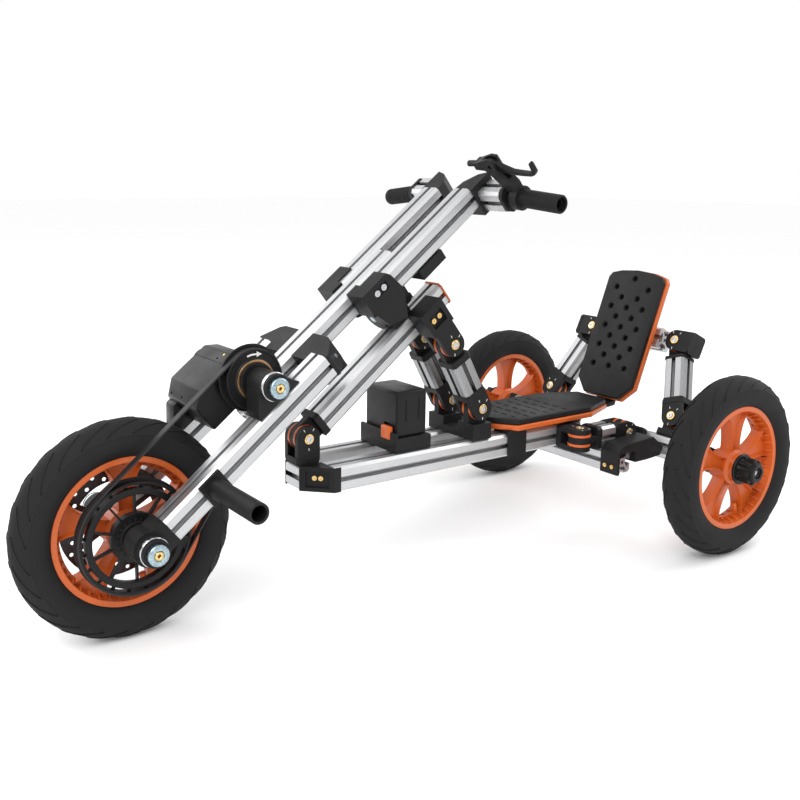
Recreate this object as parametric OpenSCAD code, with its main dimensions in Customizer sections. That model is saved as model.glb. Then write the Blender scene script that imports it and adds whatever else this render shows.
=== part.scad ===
// Chopper trike built from slotted aluminium profiles: one driven, steered front
// wheel on a long raked fork, two free rear wheels, a low seat and a lift-off battery.
// Millimetres. +Z up, the front faces -Y, +X is the rider's left side.
// The origin is on the ground, midway between the front and rear axles.

/* [Wheels] */
// Outer radius of the three tyres
tyre_r = 158.75; // [150:0.25:165]
// Half width of a tyre
tyre_half_w = 29; // [26:0.5:31]
// Radius of the orange rim lip
rim_r = 108.7; // [104:0.1:110]
// Distance between the front and rear axles
wheelbase = 984; // [960:1:1040]
// Distance from the middle plane to each rear wheel's centre
half_track = 288; // [280:1:310]

/* [Profiles] */
// Width of every square slotted profile
prof = 40; // [39:0.5:41]
// Height of the centre of the base rails
rail_z = 188; // [184:1:190]
// Distance from the middle plane to each base rail's centre
rail_x = 40; // [40:0.5:44]
// Front end of the base rails, ahead of the rear axle
rail_front = 670; // [665:1:675]
// Rear end of the base rails, ahead of the rear axle
rail_rear = 130; // [120:1:140]

/* [Fork] */
// Lean of the fork up from the ground
fork_angle = 38.5; // [37:0.25:40]
// How far the front axle sits above the centre of the fork legs
axle_drop = 4; // [2:0.5:5]
// Distance from the middle plane to each fork leg's centre
leg_x = 80; // [80:0.5:84]
// Distance up the fork from the axle to a leg's upper end
leg_top = 357; // [345:1:370]
// Upper end of the handlebar beams
bar_beam_top = 737; // [720:1:760]
// Distance up the fork to the handlebar
bar_s = 763; // [755:1:775]
// Half width over the two grips
grip_end = 217; // [205:1:235]
// Droop of the grips towards their ends
grip_droop = 7; // [4:0.5:10]
// Radius of the grips and foot pegs
grip_r = 14.5; // [13:0.5:16]

/* [Steering head] */
// Drop from the fork plane to the steering axis
head_drop = 54; // [52:0.5:56]
// Lower end of the head barrel
head_low = 512; // [505:1:518]
// Length of the head barrel
head_len = 40; // [34:1:44]

/* [Hinges] */
// Distance from a hinge pivot to the face that it is bolted to
reach = 37; // [35:0.5:40]
// Radius of the round hinge cheeks
hinge_r = 20; // [18:0.5:21]
// Radius of a hinge pin
pin_r = 4; // [3:0.25:5]

/* [Seat] */
// Half width of the seat pan and the backrest
seat_half_w = 70; // [60:1:80]
// Lean of the backrest back from upright
back_lean = 21; // [16:1:24]
// Height of the backrest's top edge along its slope
back_top = 223; // [200:1:240]

/* [Drive] */
// Distance up the fork to the drive axle
drive_s = 269; // [262:1:276]
// Height of the drive axle above the fork plane
drive_m = 48; // [45:0.5:52]
// Radius of the belt on the drive disc
drive_belt_r = 42; // [38:0.5:46]
// Radius of the belt on the wheel pulley
wheel_belt_r = 80; // [76:0.5:82]

/* [Hidden] */
$fn = 64;
half_p = prof / 2;
half_base = wheelbase / 2;
pivot_h = reach + half_p;
gap = 0.3;
press = 0.02;
run = 0.05;
cheek_t = 9;
disc_t = 4.4;
pad_t = 11;
thin_pad_t = 6;
tongue_half = half_p - cheek_t - disc_t - 2 * gap;
down_m = -2 * head_drop;
steer_m = -head_drop;
sin_f = sin(fork_angle);
cos_f = cos(fork_angle);
// front hinge pivot on the down tube's line, on a block a little taller than the others
front_lift = 3;
front_pivot_s = (rail_z + pivot_h + front_lift - tyre_r - (down_m - axle_drop) * cos_f) / sin_f;
front_pivot_y = -half_base + front_pivot_s * cos_f - (down_m - axle_drop) * sin_f;
down_len = 299;
down_low = front_pivot_s + reach;
down_top = down_low + down_len;
// the two struts run from the strut base to the hinges under the down tube
strut_top_s = 565;
strut_top_y = -half_base + strut_top_s * cos_f - (down_m - pivot_h - axle_drop) * sin_f;
strut_top_z = tyre_r + strut_top_s * sin_f + (down_m - pivot_h - axle_drop) * cos_f;
strut_base_y = 120;
strut_base_z = rail_z + 74;
strut_span = norm([strut_top_y - strut_base_y, strut_top_z - strut_base_z]);
strut_lean = atan2(strut_base_y - strut_top_y, strut_top_z - strut_base_z);
// the rear arms drop from the rails to the wheel axles
rear_arm = 11;
rear_roll = asin((rail_z - tyre_r) / (pivot_h + rear_arm));
rear_pivot_y = half_base - (pivot_h + rear_arm) * cos(rear_roll);
side_pivot_x = rail_x + pivot_h;
side_pivot_y = half_base - 172;
beam_in = side_pivot_x - half_p;
beam_out = half_track - 48;
back_pivot_x = 155;
back_lean_in = 19.5;
back_span = 152;
back_top_x = back_pivot_x - back_span * sin(back_lean_in);
back_top_z = pivot_h + back_span * cos(back_lean_in);
member_y = half_base - 115;
member_z = rail_z - prof;
member_half = 150;
cross_y = half_base - rail_front - half_p - gap;
hub_half = 24;
hub_r = 26;
axle_r = 6;
bearing_r = 14;
bearing_w = 8;
belt_x = 44;
belt_w = 12;
belt_t = 2.4;
head_top = head_low + head_len;
knuckle_t = 12;
leg_low = 36;
beam_low = 235;
beam_top = 580;
bar_beam_low = 497;
bar_m = -14;
bar_in = 64;
bar_out = 112;
peg_s = 117;
peg_end = 225;
tray_y = -half_base + 473;
pack_w = 90;
pack_l = 60;
pack_z = rail_z + half_p + 24;
pack_h = 76;
back_z = 264.6;
back_t = 20;
pan_gap = 6;
pan_t = 9;
saddle_y = half_base - 291;
cell_r = 7.8;
latch_x = 23;
latch_w = 24;
lever_x = 112;
lever_m = 62;
grip_len = (grip_end - bar_out) / cos(grip_droop);
housing_in = 25;
housing_out = 80;
housing_top = drive_m + 36;

// ---- frames ----

// fork frame: X across, Y up along the fork from the front axle, Z out of the fork
module in_fork() {
    translate([0, -half_base, tyre_r])
        rotate([fork_angle, 0, 0])
            translate([0, 0, -axle_drop])
                children();
}

// rear beam frame: X across, Z out of the rolled top face of the rear beams
module in_beam() {
    translate([0, half_base, tyre_r])
        rotate([-rear_roll, 0, 0])
            children();
}

// backrest frame: X across, Y out of the back, Z up the slope
module in_back() {
    translate([0, half_base - 3, back_z])
        rotate([-back_lean, 0, 0])
            children();
}

module both_sides() {
    children();
    mirror([1, 0, 0]) children();
}

module along_x(r, x0, x1) {
    translate([x0, 0, 0]) rotate([0, 90, 0]) cylinder(r = r, h = x1 - x0);
}

module ring_x(r, hole, x0, x1) {
    difference() {
        along_x(r, x0, x1);
        along_x(hole, x0 - 1, x1 + 1);
    }
}

module box(x0, x1, y0, y1, z0, z1) {
    translate([x0, y0, z0]) cube([x1 - x0, y1 - y0, z1 - z0]);
}

// ---- slotted profile ----

module profile_2d() {
    c = 4.5;
    h = half_p;
    lip = h - 4.5;
    difference() {
        polygon([[-h, c - h], [c - h, -h], [h - c, -h], [h, c - h],
                 [h, h - c], [h - c, h], [c - h, h], [-h, h - c]]);
        for (a = [0 : 90 : 270])
            rotate(a)
                polygon([[-4.1, h + 1], [-4.1, lip], [-10, lip], [-10, lip - 2.5],
                         [-5, 8], [5, 8], [10, lip - 2.5], [10, lip],
                         [4.1, lip], [4.1, h + 1]]);
        circle(r = 3.4);
    }
}

module profile_y(y0, y1) {
    translate([0, y1, 0]) rotate([90, 0, 0])
        linear_extrude(y1 - y0) profile_2d();
}

module profile_x(x0, x1) {
    translate([x0, 0, 0]) rotate([90, 0, 90])
        linear_extrude(x1 - x0) profile_2d();
}

// ---- hinge set: pivot along X at the origin ----

// flat pad with cut corners that meets a profile or carries the cheeks
module hinge_pad(z0, z1) {
    c = 4;
    h = half_p + 0.8;
    translate([0, 0, z0]) linear_extrude(z1 - z0)
        polygon([[-h, c - h], [c - h, -h], [h - c, -h], [h, c - h],
                 [h, h - c], [h - c, h], [c - h, h], [-h, h - c]]);
}

module hinge_cheek(x0, x1, z_end) {
    difference() {
        union() {
            along_x(hinge_r, x0, x1);
            translate([x0, -hinge_r, z_end]) cube([x1 - x0, 2 * hinge_r, -z_end]);
        }
        along_x(pin_r + press, x0 - 1, x1 + 1);
    }
}

// outer half: two cheeks and a pad of thickness t whose foot is far below the pivot
module fork_half(t = pad_t, far = reach) {
    both_sides() hinge_cheek(half_p - cheek_t, half_p, 4 - far);
    hinge_pad(-far, t - far);
}

// inner half: one tongue, pad of thickness t below the pivot, turned by a about the pin
module tongue_part(a, t = pad_t, far = reach) {
    rotate([a, 0, 0]) {
        hinge_cheek(-tongue_half, tongue_half, 4 - far);
        hinge_pad(-far, t - far);
    }
}

module friction_discs() {
    both_sides()
        ring_x(hinge_r + 0.6, pin_r + press, tongue_half + gap, half_p - cheek_t - gap);
}

module hinge_bolt() {
    along_x(pin_r, -half_p, half_p);
    both_sides() along_x(8, half_p, half_p + 3.5);
}

// ---- places of the hinges ----

module at_front_hinge()
    translate([0, front_pivot_y, rail_z + pivot_h + front_lift]) children();
module at_strut_low() both_sides() translate([rail_x, strut_base_y, strut_base_z]) children();
module at_strut_high() both_sides() translate([rail_x, strut_top_y, strut_top_z]) children();
module at_side_hinge()
    both_sides() translate([side_pivot_x, side_pivot_y, rail_z]) rotate([0, 90, 0]) children();
module at_rear_hinge() both_sides() translate([side_pivot_x, rear_pivot_y, rail_z]) children();
module at_back_low()
    in_beam() both_sides() translate([back_pivot_x, 0, pivot_h]) rotate([0, 0, 90]) children();
module at_back_high()
    in_beam() both_sides() translate([back_top_x, 0, back_top_z]) rotate([0, 0, 90]) children();
module at_all_hinges() {
    at_front_hinge() children();
    at_strut_low() children();
    at_strut_high() children();
    at_side_hinge() children();
    at_rear_hinge() children();
    at_back_low() children();
    at_back_high() children();
}

// ---- frame ----

module base_rails() {
    color("silver")
        both_sides()
            translate([rail_x, 0, rail_z])
                profile_y(half_base - rail_front, half_base - rail_rear);
}

module cross_members() {
    color("silver") {
        translate([0, cross_y, rail_z]) profile_x(-half_p, half_p);
        translate([0, member_y, member_z]) profile_x(-member_half, member_half);
        in_beam()
            translate([0, 0, back_top_z]) profile_x(reach - back_top_x, back_top_x - reach);
    }
}

// 45 degree corner block between the cross profile and a rail; a recess takes the screws
module front_corner_brackets() {
    in_x = half_p + gap;
    out_x = rail_x + half_p + 1.6;
    front = cross_y - half_p;
    color([0.12, 0.12, 0.12])
        both_sides()
            translate([0, front, rail_z - half_p + 0.5]) difference() {
                linear_extrude(prof - 0.5)
                    polygon([[in_x, 0], [in_x + 2, 0], [out_x, prof - 0.4], [out_x, prof + 11],
                             [out_x - 1.3, prof + 11], [out_x - 1.3, prof - 0.3],
                             [in_x, prof - 0.3]]);
                at_corner_face() translate([-4, -19, -13]) cube([8, 38, 26]);
            }
}

// middle of the corner block's slanted face, X out of the face
module at_corner_face() {
    translate([rail_x + 2, half_p - 0.3, half_p - 0.5]) rotate([0, 0, -45]) children();
}

module hinge_sleeves() {
    color([0.13, 0.13, 0.13]) {
        at_front_hinge() tongue_part(90 + fork_angle);
        at_strut_low() rotate([strut_lean, 0, 0]) rotate([180, 0, 0]) fork_half();
        at_strut_high() tongue_part(strut_lean);
        at_side_hinge() tongue_part(90);
        at_rear_hinge() rotate([-90, 0, 0]) fork_half();
        in_beam() both_sides() {
            translate([back_pivot_x, 0, pivot_h])
                rotate([0, -back_lean_in, 0]) rotate([0, 0, 90]) rotate([180, 0, 0]) fork_half();
            translate([back_top_x, 0, back_top_z])
                rotate([0, -back_lean_in, 0]) rotate([0, 0, 90]) tongue_part(0, thin_pad_t);
        }
    }
}

module hinge_blocks() {
    color([0.12, 0.12, 0.12]) {
        at_front_hinge() fork_half(pad_t, reach + front_lift);
        at_side_hinge() rotate([0, 0, 180]) fork_half();
        at_rear_hinge() rotate([90 - rear_roll, 0, 0]) tongue_part(0, pad_t, reach + rear_arm);
        at_back_low() tongue_part(0);
        in_beam() both_sides()
            translate([back_top_x, 0, back_top_z])
                rotate([0, -90, 0]) rotate([0, 0, 90]) fork_half(thin_pad_t);
        in_fork() both_sides() strut_clamp();
    }
}

// clamp beside the down tube: cheeks below it for the strut's upper hinge
module strut_clamp() {
    low = down_m - pivot_h;
    x0 = half_p + gap;
    x1 = rail_x + half_p;
    difference() {
        union() {
            box(x0, x1, strut_top_s - 24, strut_top_s + 24, down_m - half_p, down_m + half_p + 6);
            for (x = [[x0, rail_x - half_p + cheek_t], [x1 - cheek_t, x1]])
                translate([0, strut_top_s, low]) {
                    along_x(hinge_r, x[0], x[1]);
                    box(x[0], x[1], -hinge_r, hinge_r, 0, reach + 2);
                }
        }
        translate([0, strut_top_s, low]) along_x(pin_r + press, 0, x1 + 1);
        box(x1 - 6, x1 + 1, strut_top_s - 15, strut_top_s + 15, down_m - 10, down_m + 14);
    }
}

module hinge_discs() {
    color([1, 0.4, 0.05]) at_all_hinges() friction_discs();
}

module hinge_bolts() {
    color("silver") at_all_hinges() hinge_bolt();
}

module down_tube() {
    color("silver") in_fork() translate([0, 0, down_m]) profile_y(down_low, down_top);
}

module down_tube_cap() {
    color([1, 0.4, 0.1])
        in_fork() translate([0, down_top, down_m]) {
            h = half_p + 1.4;
            rotate([-90, 0, 0]) linear_extrude(3)
                polygon([[-h, 5 - h], [5 - h, -h], [h - 5, -h], [h, 5 - h],
                         [h, h - 5], [h - 5, h], [5 - h, h], [-h, h - 5]]);
        }
}

module strut_base_block() {
    color([0.11, 0.11, 0.11]) {
        z0 = rail_z + half_p;
        difference() {
            union() {
                both_sides() box(rail_x - half_p, rail_x + half_p + 1,
                    strut_base_y - half_p, strut_base_y + half_p, z0, strut_base_z - 26);
                box(-rail_x, rail_x, strut_base_y - half_p, strut_base_y + half_p, z0, z0 + 12);
                both_sides() translate([rail_x, strut_base_y, strut_base_z]) {
                    along_x(hinge_r, -tongue_half, tongue_half);
                    box(-tongue_half, tongue_half, -hinge_r, hinge_r, -28, 0);
                }
            }
            both_sides() translate([rail_x, strut_base_y, strut_base_z])
                along_x(pin_r + press, -half_p, half_p);
        }
    }
}

module hinge_struts() {
    color("silver") {
        at_strut_low() rotate([90 + strut_lean, 0, 0])
            profile_y(reach, strut_span - reach);
        in_beam() both_sides() translate([back_pivot_x, 0, pivot_h])
            rotate([0, -back_lean_in, 0]) rotate([90, 0, 0])
                profile_y(reach, back_span - reach);
    }
}

module head_barrel() {
    color([0.1, 0.1, 0.1]) in_fork() {
        difference() {
            union() {
                translate([0, head_low, steer_m]) rotate([-90, 0, 0])
                    cylinder(r = 24, h = head_len);
                box(-half_p, half_p, head_low, head_top, down_m + half_p, steer_m);
            }
            translate([0, head_low - 1, steer_m]) rotate([-90, 0, 0])
                cylinder(r = 6 + run, h = head_len + 2);
        }
    }
}

module battery_tray() {
    color([0.12, 0.12, 0.12]) {
        z0 = rail_z + half_p;
        front = tray_y - pack_l / 2;
        difference() {
            union() {
                box(-50, 50, front - 7, tray_y + pack_l / 2 + 7, z0, pack_z);
                box(-50, 50, front - 7, front - 1, z0, pack_z + 9);
            }
            box(latch_x - latch_w / 2 - gap, latch_x + latch_w / 2 + gap, front - 8,
                front + 8, pack_z - 4 - gap, pack_z + 10);
        }
    }
}

module battery_latch() {
    color([1, 0.4, 0.05])
        box(latch_x - latch_w / 2, latch_x + latch_w / 2, tray_y - pack_l / 2 - 9,
            tray_y - pack_l / 2 - 0.6, pack_z - 4, pack_z + 18);
}

module battery_pack() {
    w = pack_w / 2;
    l = pack_l / 2;
    color([0.13, 0.13, 0.13])
        translate([0, tray_y, pack_z + gap]) difference() {
            box(-w, w, -l, l, 0, pack_h);
            box(3 - w, w - 3, 9 - l, l - 3, 3, pack_h - 3);
            // room for the latch to be pressed in
            box(latch_x - latch_w / 2 - 2, latch_x + latch_w / 2 + 2, -l - 1, 5 - l, -1, 21);
            for (y = [-12, 12])
                box(w - 2, w + 1, y - 1.5, y + 1.5, 24, 62);
        }
}

module battery_cells() {
    color("steelblue")
        translate([0, tray_y + 3, pack_z + 3 + gap])
            for (i = [-2 : 2], j = [-1 : 1])
                translate([i * 16.5, j * 16, 0]) cylinder(r = cell_r, h = 66);
}

// ---- seat ----

module pan_outline() {
    w = seat_half_w;
    polygon([[-30, -326], [30, -326], [w, -296], [w, -112], [38, -36], [-38, -36],
             [-w, -112], [-w, -296]]);
}

module seat_pan_shell() {
    color([1, 0.4, 0.05])
        translate([0, half_base, rail_z + half_p + pan_gap]) linear_extrude(pan_t) pan_outline();
}

module seat_pan_pad() {
    color([0.15, 0.15, 0.15])
        translate([0, half_base, rail_z + half_p + pan_gap + pan_t + gap])
            linear_extrude(11) difference() {
                pan_outline();
                for (y = [-280 : 24 : -160], x = [-40 : 20 : 40])
                    translate([x - 6, y - 1.75]) square([12, 3.5]);
            }
}

module back_outline() {
    w = seat_half_w;
    t = back_top;
    polygon([[-44, -38], [44, -38], [w, -10], [w, t - 19], [w - 6, t - 9], [40, t - 3],
             [0, t], [-40, t - 3], [6 - w, t - 9], [-w, t - 19], [-w, -10]]);
}

module backrest_shell() {
    color([1, 0.4, 0.05])
        in_back() translate([0, back_t, 0]) rotate([90, 0, 0]) linear_extrude(9.4) back_outline();
}

// air hole in staggered row i, x in steps of the hole pitch
module back_hole(x, i) {
    translate([x * 39, 24 + i * 19.9]) circle(r = 5.5);
}

module backrest_pad() {
    color([0.15, 0.15, 0.15])
        in_back() translate([0, 10.3, 0]) rotate([90, 0, 0]) linear_extrude(10.3) difference() {
            back_outline();
            for (i = [0 : 7]) for (x = i % 2 == 0 ? [-1, 0, 1] : [-0.5, 0.5])
                back_hole(x, i);
            for (x = [-1, 1]) back_hole(x, 8);
            back_hole(0, 9);
        }
}

// side view of the strap: a point y back from and t up the backrest's front face
function on_back(y, t) = [half_base - 3 + y * cos(back_lean) + t * sin(back_lean),
                          back_z - y * sin(back_lean) + t * cos(back_lean)];

module seat_brackets() {
    color([0.14, 0.14, 0.14]) {
        z0 = rail_z + half_p;
        strap_y = back_t + gap;
        // front saddles hook over the rails, rear pads lie on them
        both_sides() {
            difference() {
                box(rail_x - 16, rail_x + half_p + 3.3, saddle_y - 21, saddle_y + 21,
                    rail_z - half_p, z0 + pan_gap);
                box(rail_x - 17, rail_x + half_p + gap, saddle_y - 22, saddle_y + 22,
                    rail_z - half_p - 1, z0);
            }
            box(rail_x - 16, rail_x + half_p, half_base - 160, half_base - 130, z0, z0 + pan_gap);
        }
        // strap from under the pan up the back of the backrest
        translate([-22, 0, 0]) rotate([90, 0, 90]) linear_extrude(44)
            polygon([on_back(strap_y, 120), on_back(strap_y + 6, 120), on_back(strap_y + 6, -46),
                     [half_base - 20, z0 + 2], [half_base - 150, z0 + 2],
                     [half_base - 150, z0 + pan_gap - gap], [half_base - 26, z0 + pan_gap - gap],
                     on_back(strap_y, -38)]);
        // block between the strap and the upper cross member
        difference() {
            in_beam() box(-22, 22, -half_p - 30, -half_p - gap, back_top_z - 16, back_top_z + 16);
            in_back() box(-80, 80, -60, strap_y + 6, -100, 300);
        }
    }
}

// ---- rear arms ----

module short_profiles() {
    color("silver")
        both_sides() translate([side_pivot_x, 0, rail_z])
            profile_y(side_pivot_y + reach, rear_pivot_y - reach);
}

module rear_cross_beams() {
    color("silver") in_beam() both_sides() profile_x(beam_in, beam_out);
}

// wedge from the lower cross member up to the rolled front face of the rear beam
module rear_gussets() {
    color([0.12, 0.12, 0.12])
        both_sides() {
            front = member_y - half_p;
            rear = member_y + half_p + gap;
            top = member_z + half_p + gap;
            face_y = half_base - (half_p + gap) * cos(rear_roll);
            face_z = tyre_r + (half_p + gap) * sin(rear_roll);
            translate([122, 0, 0]) rotate([90, 0, 90]) linear_extrude(40)
                polygon([[front - 6, member_z - 18], [front - 6, top + 2], [front + 8, top + 15],
                         [face_y - 30, rail_z], [face_y - 2 * sin(rear_roll), face_z - 2 * cos(rear_roll)],
                         [face_y - 19 * sin(rear_roll), face_z - 19 * cos(rear_roll)],
                         [rear + 30, member_z], [rear, member_z], [rear, top],
                         [front - gap, top], [front - gap, member_z - 18]]);
        }
}

module rear_axle_blocks() {
    color([0.12, 0.12, 0.12])
        in_beam() both_sides() difference() {
            union() {
                translate([beam_out, 0, 0]) rotate([90, 0, 90]) linear_extrude(16)
                    polygon([[-20.8, -16.8], [-16.8, -20.8], [16.8, -20.8], [20.8, -16.8],
                             [20.8, 16.8], [16.8, 20.8], [-16.8, 20.8], [-20.8, 16.8]]);
                along_x(11, beam_out + 15, half_track - hub_half - 0.6);
            }
            along_x(axle_r + press, beam_out - 1, half_track);
        }
}

module rear_axles() {
    color("silver")
        translate([0, half_base, tyre_r])
            both_sides() along_x(axle_r, beam_out + 1, half_track + hub_half + 30);
}

module rear_bearings() {
    color("silver")
        translate([0, half_base, tyre_r])
            both_sides() for (x = [half_track - hub_half, half_track + hub_half - bearing_w])
                ring_x(bearing_r - run, axle_r + press, x, x + bearing_w);
}

module rear_knobs() {
    color([0.08, 0.08, 0.08])
        translate([0, half_base, tyre_r])
            both_sides() {
                x0 = half_track + hub_half + 0.6;
                difference() {
                    union() {
                        along_x(27, x0, x0 + 5);
                        along_x(19, x0 + 5, x0 + 34);
                        for (a = [0 : 60 : 300])
                            rotate([a, 0, 0]) translate([0, 18, 0]) along_x(6, x0 + 5, x0 + 24);
                    }
                    along_x(axle_r + press, x0 - 1, x0 + 29.6);
                    translate([x0 + 26, 0, 0]) rotate([0, 90, 0]) cylinder(r = 10, h = 20, $fn = 6);
                }
            }
}

module gold_screw(r) {
    rotate([0, 90, 0]) difference() {
        cylinder(r = r, h = 2.6);
        translate([0, 0, 1]) cylinder(r = r * 0.5, h = 3, $fn = 6);
    }
}

module frame_screws() {
    color("gold") {
        in_fork() both_sides() for (s = [-7, 7])
            translate([rail_x + half_p - 6, strut_top_s + s, down_m + 2]) gold_screw(4.5);
        both_sides() translate([0, cross_y - half_p, rail_z - half_p + 0.5])
            for (s = [-5, 5]) at_corner_face() translate([-4, s, 2]) gold_screw(3.8);
        both_sides() for (x = [134, 150])
            translate([x, member_y - half_p - 6, member_z - 4])
                rotate([0, 0, -90]) gold_screw(3.8);
    }
}

// ---- wheels: axle along X at the origin ----

module tyre_shape() {
    color([0.1, 0.1, 0.1]) rotate([0, 90, 0]) rotate_extrude() difference() {
        union() {
            translate([tyre_r - tyre_half_w, 0]) circle(r = tyre_half_w);
            translate([rim_r - 5.4, -17.2]) square([14, 34.4]);
        }
        translate([tyre_r - tyre_half_w - 1, 0]) circle(r = tyre_half_w - 6);
        translate([rim_r - 10, -12]) square([20, 24]);
        for (s = [-1, 1])
            translate([rim_r - 20, s * 37.2 - 20]) square([20.2, 40]);
        translate([rim_r - 20, -40]) square([14.5, 80]);
    }
}

// hub, floor and two lips, joined by spokes that flare out towards the floor
module rim_shape() {
    floor_out = rim_r - 5.7;
    floor_in = rim_r - 9.7;
    color([1, 0.4, 0.05]) difference() {
        union() {
            rotate([0, 90, 0]) rotate_extrude() {
                translate([floor_in, -17.4]) square([floor_out - floor_in, 34.8]);
                for (s = [-1, 1])
                    translate([floor_in, s * 19 - 1.6]) square([rim_r - floor_in, 3.2]);
            }
            along_x(hub_r, -hub_half, hub_half);
            rotate([0, 90, 0]) translate([0, 0, -14]) linear_extrude(28) intersection() {
                circle(r = (floor_in + floor_out) / 2);
                for (a = [0 : 72 : 288]) rotate(a)
                    polygon([[10, -13], [48, -13], [72, -20], [90, -34], [104, -38],
                             [104, 38], [90, 34], [72, 20], [48, 13], [10, 13]]);
            }
        }
        along_x(bearing_r, -hub_half - 1, hub_half + 1);
    }
}

module at_left_wheel() translate([half_track, half_base, tyre_r]) children();
module at_right_wheel() translate([-half_track, half_base, tyre_r]) children();
module at_front_wheel() translate([0, -half_base, tyre_r]) children();

module rear_tyre_left() at_left_wheel() tyre_shape();
module rear_rim_left() at_left_wheel() rim_shape();
module rear_tyre_right() at_right_wheel() tyre_shape();
module rear_rim_right() at_right_wheel() rim_shape();
module front_tyre() at_front_wheel() tyre_shape();
module front_rim() at_front_wheel() rim_shape();

module belt_pulley() {
    color([0.1, 0.1, 0.1]) at_front_wheel() difference() {
        union() {
            ring_x(wheel_belt_r, 64, belt_x - belt_w / 2 - 2, belt_x + belt_w / 2);
            ring_x(wheel_belt_r + 4, 70, belt_x - belt_w / 2 - 2, belt_x - belt_w / 2 - 0.2);
            ring_x(30, bearing_r, hub_half, belt_x + 6);
            for (a = [0 : 36 : 324]) rotate([a, 0, 0])
                box(belt_x - 7, belt_x + 2, -1.6, 1.6, 28, 66);
        }
        along_x(bearing_r, 0, 60);
    }
}

module brake_disc() {
    color([0.12, 0.12, 0.12]) at_front_wheel() {
        translate([-36, 0, 0]) rotate([0, 90, 0]) linear_extrude(2) difference() {
            union() {
                difference() {
                    circle(r = 82);
                    circle(r = 60);
                }
                circle(r = 30);
                for (a = [0 : 60 : 300]) rotate(a) translate([20, -4]) square([50, 8]);
            }
            circle(r = bearing_r);
            for (a = [0 : 12 : 348]) rotate(a) translate([66 + 9 * ((a / 12) % 2), 0]) circle(r = 3);
        }
        ring_x(30, bearing_r, -34.5, -hub_half);
    }
}

module front_bearings() {
    color("silver") at_front_wheel() {
        for (x = [-hub_half - 8, hub_half])
            ring_x(bearing_r - run, axle_r + press, x, x + bearing_w);
    }
}

// ---- fork ----

module central_beam() {
    color("silver") in_fork() profile_y(beam_low, beam_top);
}

module handlebar_beams() {
    color("silver") in_fork() both_sides()
        translate([prof + gap, 0, 0]) profile_y(bar_beam_low, bar_beam_top);
}

module lower_legs() {
    color("silver") in_fork() both_sides() translate([leg_x, 0, 0]) profile_y(leg_low, leg_top);
}

// bridges between the central beam and the legs, hooding each leg's end; wedges below
module beam_connectors() {
    color([0.13, 0.13, 0.13]) in_fork() both_sides() {
        in_x = half_p + gap;
        out_x = leg_x + half_p;
        end = leg_top + gap;
        translate([0, 0, -half_p]) linear_extrude(prof - 3)
            polygon([[in_x, leg_top - 13], [leg_x - half_p - gap, leg_top - 13],
                     [leg_x - half_p - gap, end], [out_x, end], [out_x, end + 5],
                     [out_x - 26, end + 31], [in_x + 42, end + 36], [in_x, end + 36]]);
        box(in_x, leg_x - half_p - gap, leg_top - 7, end + 36, -half_p - 23, -half_p + 1);
        box(half_p + 2, prof + half_p, beam_top + 2, beam_top + 56, -half_p - 18, -half_p - gap);
    }
}

// blocks under the lower ends of the handlebar beams with a cheek up their outer faces
module head_connectors() {
    color([0.12, 0.12, 0.12]) in_fork() both_sides() difference() {
        low = bar_beam_low - 23;
        beam_out_x = prof + half_p + 2 * gap;
        union() {
            translate([beam_out_x, 0, 0]) rotate([90, 0, 90]) linear_extrude(3.4)
                polygon([[low, 22.6], [low, -9], [low + 14, -48], [low + 46, -60],
                         [low + 68, -18], [low + 61, 15], [low + 56, 22.6]]);
            box(half_p + gap, beam_out_x + 1, low, bar_beam_low - gap, -half_p, 22.6);
            translate([28, 0, 0]) rotate([90, 0, 90]) linear_extrude(beam_out_x - 27)
                polygon([[low + 8, -half_p - gap], [low + 14, -48], [low + 46, -60],
                         [low + 65, -half_p - gap]]);
            box(32, beam_out_x + 1, low, low + 56, half_p + 2 * gap, 22.6);
        }
        box(61.5, 65, low + 20, low + 48, 1, 15);
    }
}

module steering_knuckles() {
    color([0.12, 0.12, 0.12]) in_fork() {
        for (s = [head_low - knuckle_t - gap, head_top + gap])
            difference() {
                union() {
                    translate([0, s, steer_m]) rotate([-90, 0, 0]) cylinder(r = 24, h = knuckle_t);
                    box(-24, 24, s, s + knuckle_t, steer_m, -half_p - gap);
                }
                translate([0, s - 1, steer_m]) rotate([-90, 0, 0])
                    cylinder(r = axle_r + press, h = knuckle_t + 2);
            }
    }
}

module fork_axles() {
    color([0.7, 0.72, 0.75]) {
        // front axle
        at_front_wheel() {
            along_x(axle_r, -118, 118);
            both_sides() along_x(14.8, 112, 126);
        }
        in_fork() {
            translate([0, drive_s, drive_m]) {
                along_x(axle_r, -118, 118);
                both_sides() along_x(14.8, 112, 126);
            }
            // steering pin
            translate([0, head_low - knuckle_t - 4, steer_m]) rotate([-90, 0, 0])
                cylinder(r = axle_r, h = head_len + 2 * knuckle_t + 8);
        }
    }
}

module axle_rings() {
    color("silver") {
        at_front_wheel() both_sides() {
            ring_x(20, axle_r + press, 106.3, 111.7);
            ring_x(10, axle_r + press, hub_half + bearing_w + gap, leg_x - 18 - gap);
        }
        in_fork() translate([0, drive_s, drive_m])
            both_sides() ring_x(20, axle_r + press, 106.3, 111.7);
    }
}

module axle_brackets() {
    color([0.11, 0.11, 0.11]) in_fork() {
        // leg end blocks with a round nose round the axle
        both_sides() difference() {
            union() {
                translate([0, 0, axle_drop]) along_x(25, 62, 98);
                box(62, 98, 0, leg_low - gap, -half_p, half_p + 3);
                translate([0, 0, axle_drop]) along_x(22, 97, 106);
            }
            translate([0, 0, axle_drop]) along_x(axle_r + press, 50, 120);
        }
        // drive axle brackets on the legs' top faces; the right one clears the housing
        drive_bracket(leg_x - half_p + 2);
        mirror([1, 0, 0]) drive_bracket(housing_out + gap);
    }
}

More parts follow.
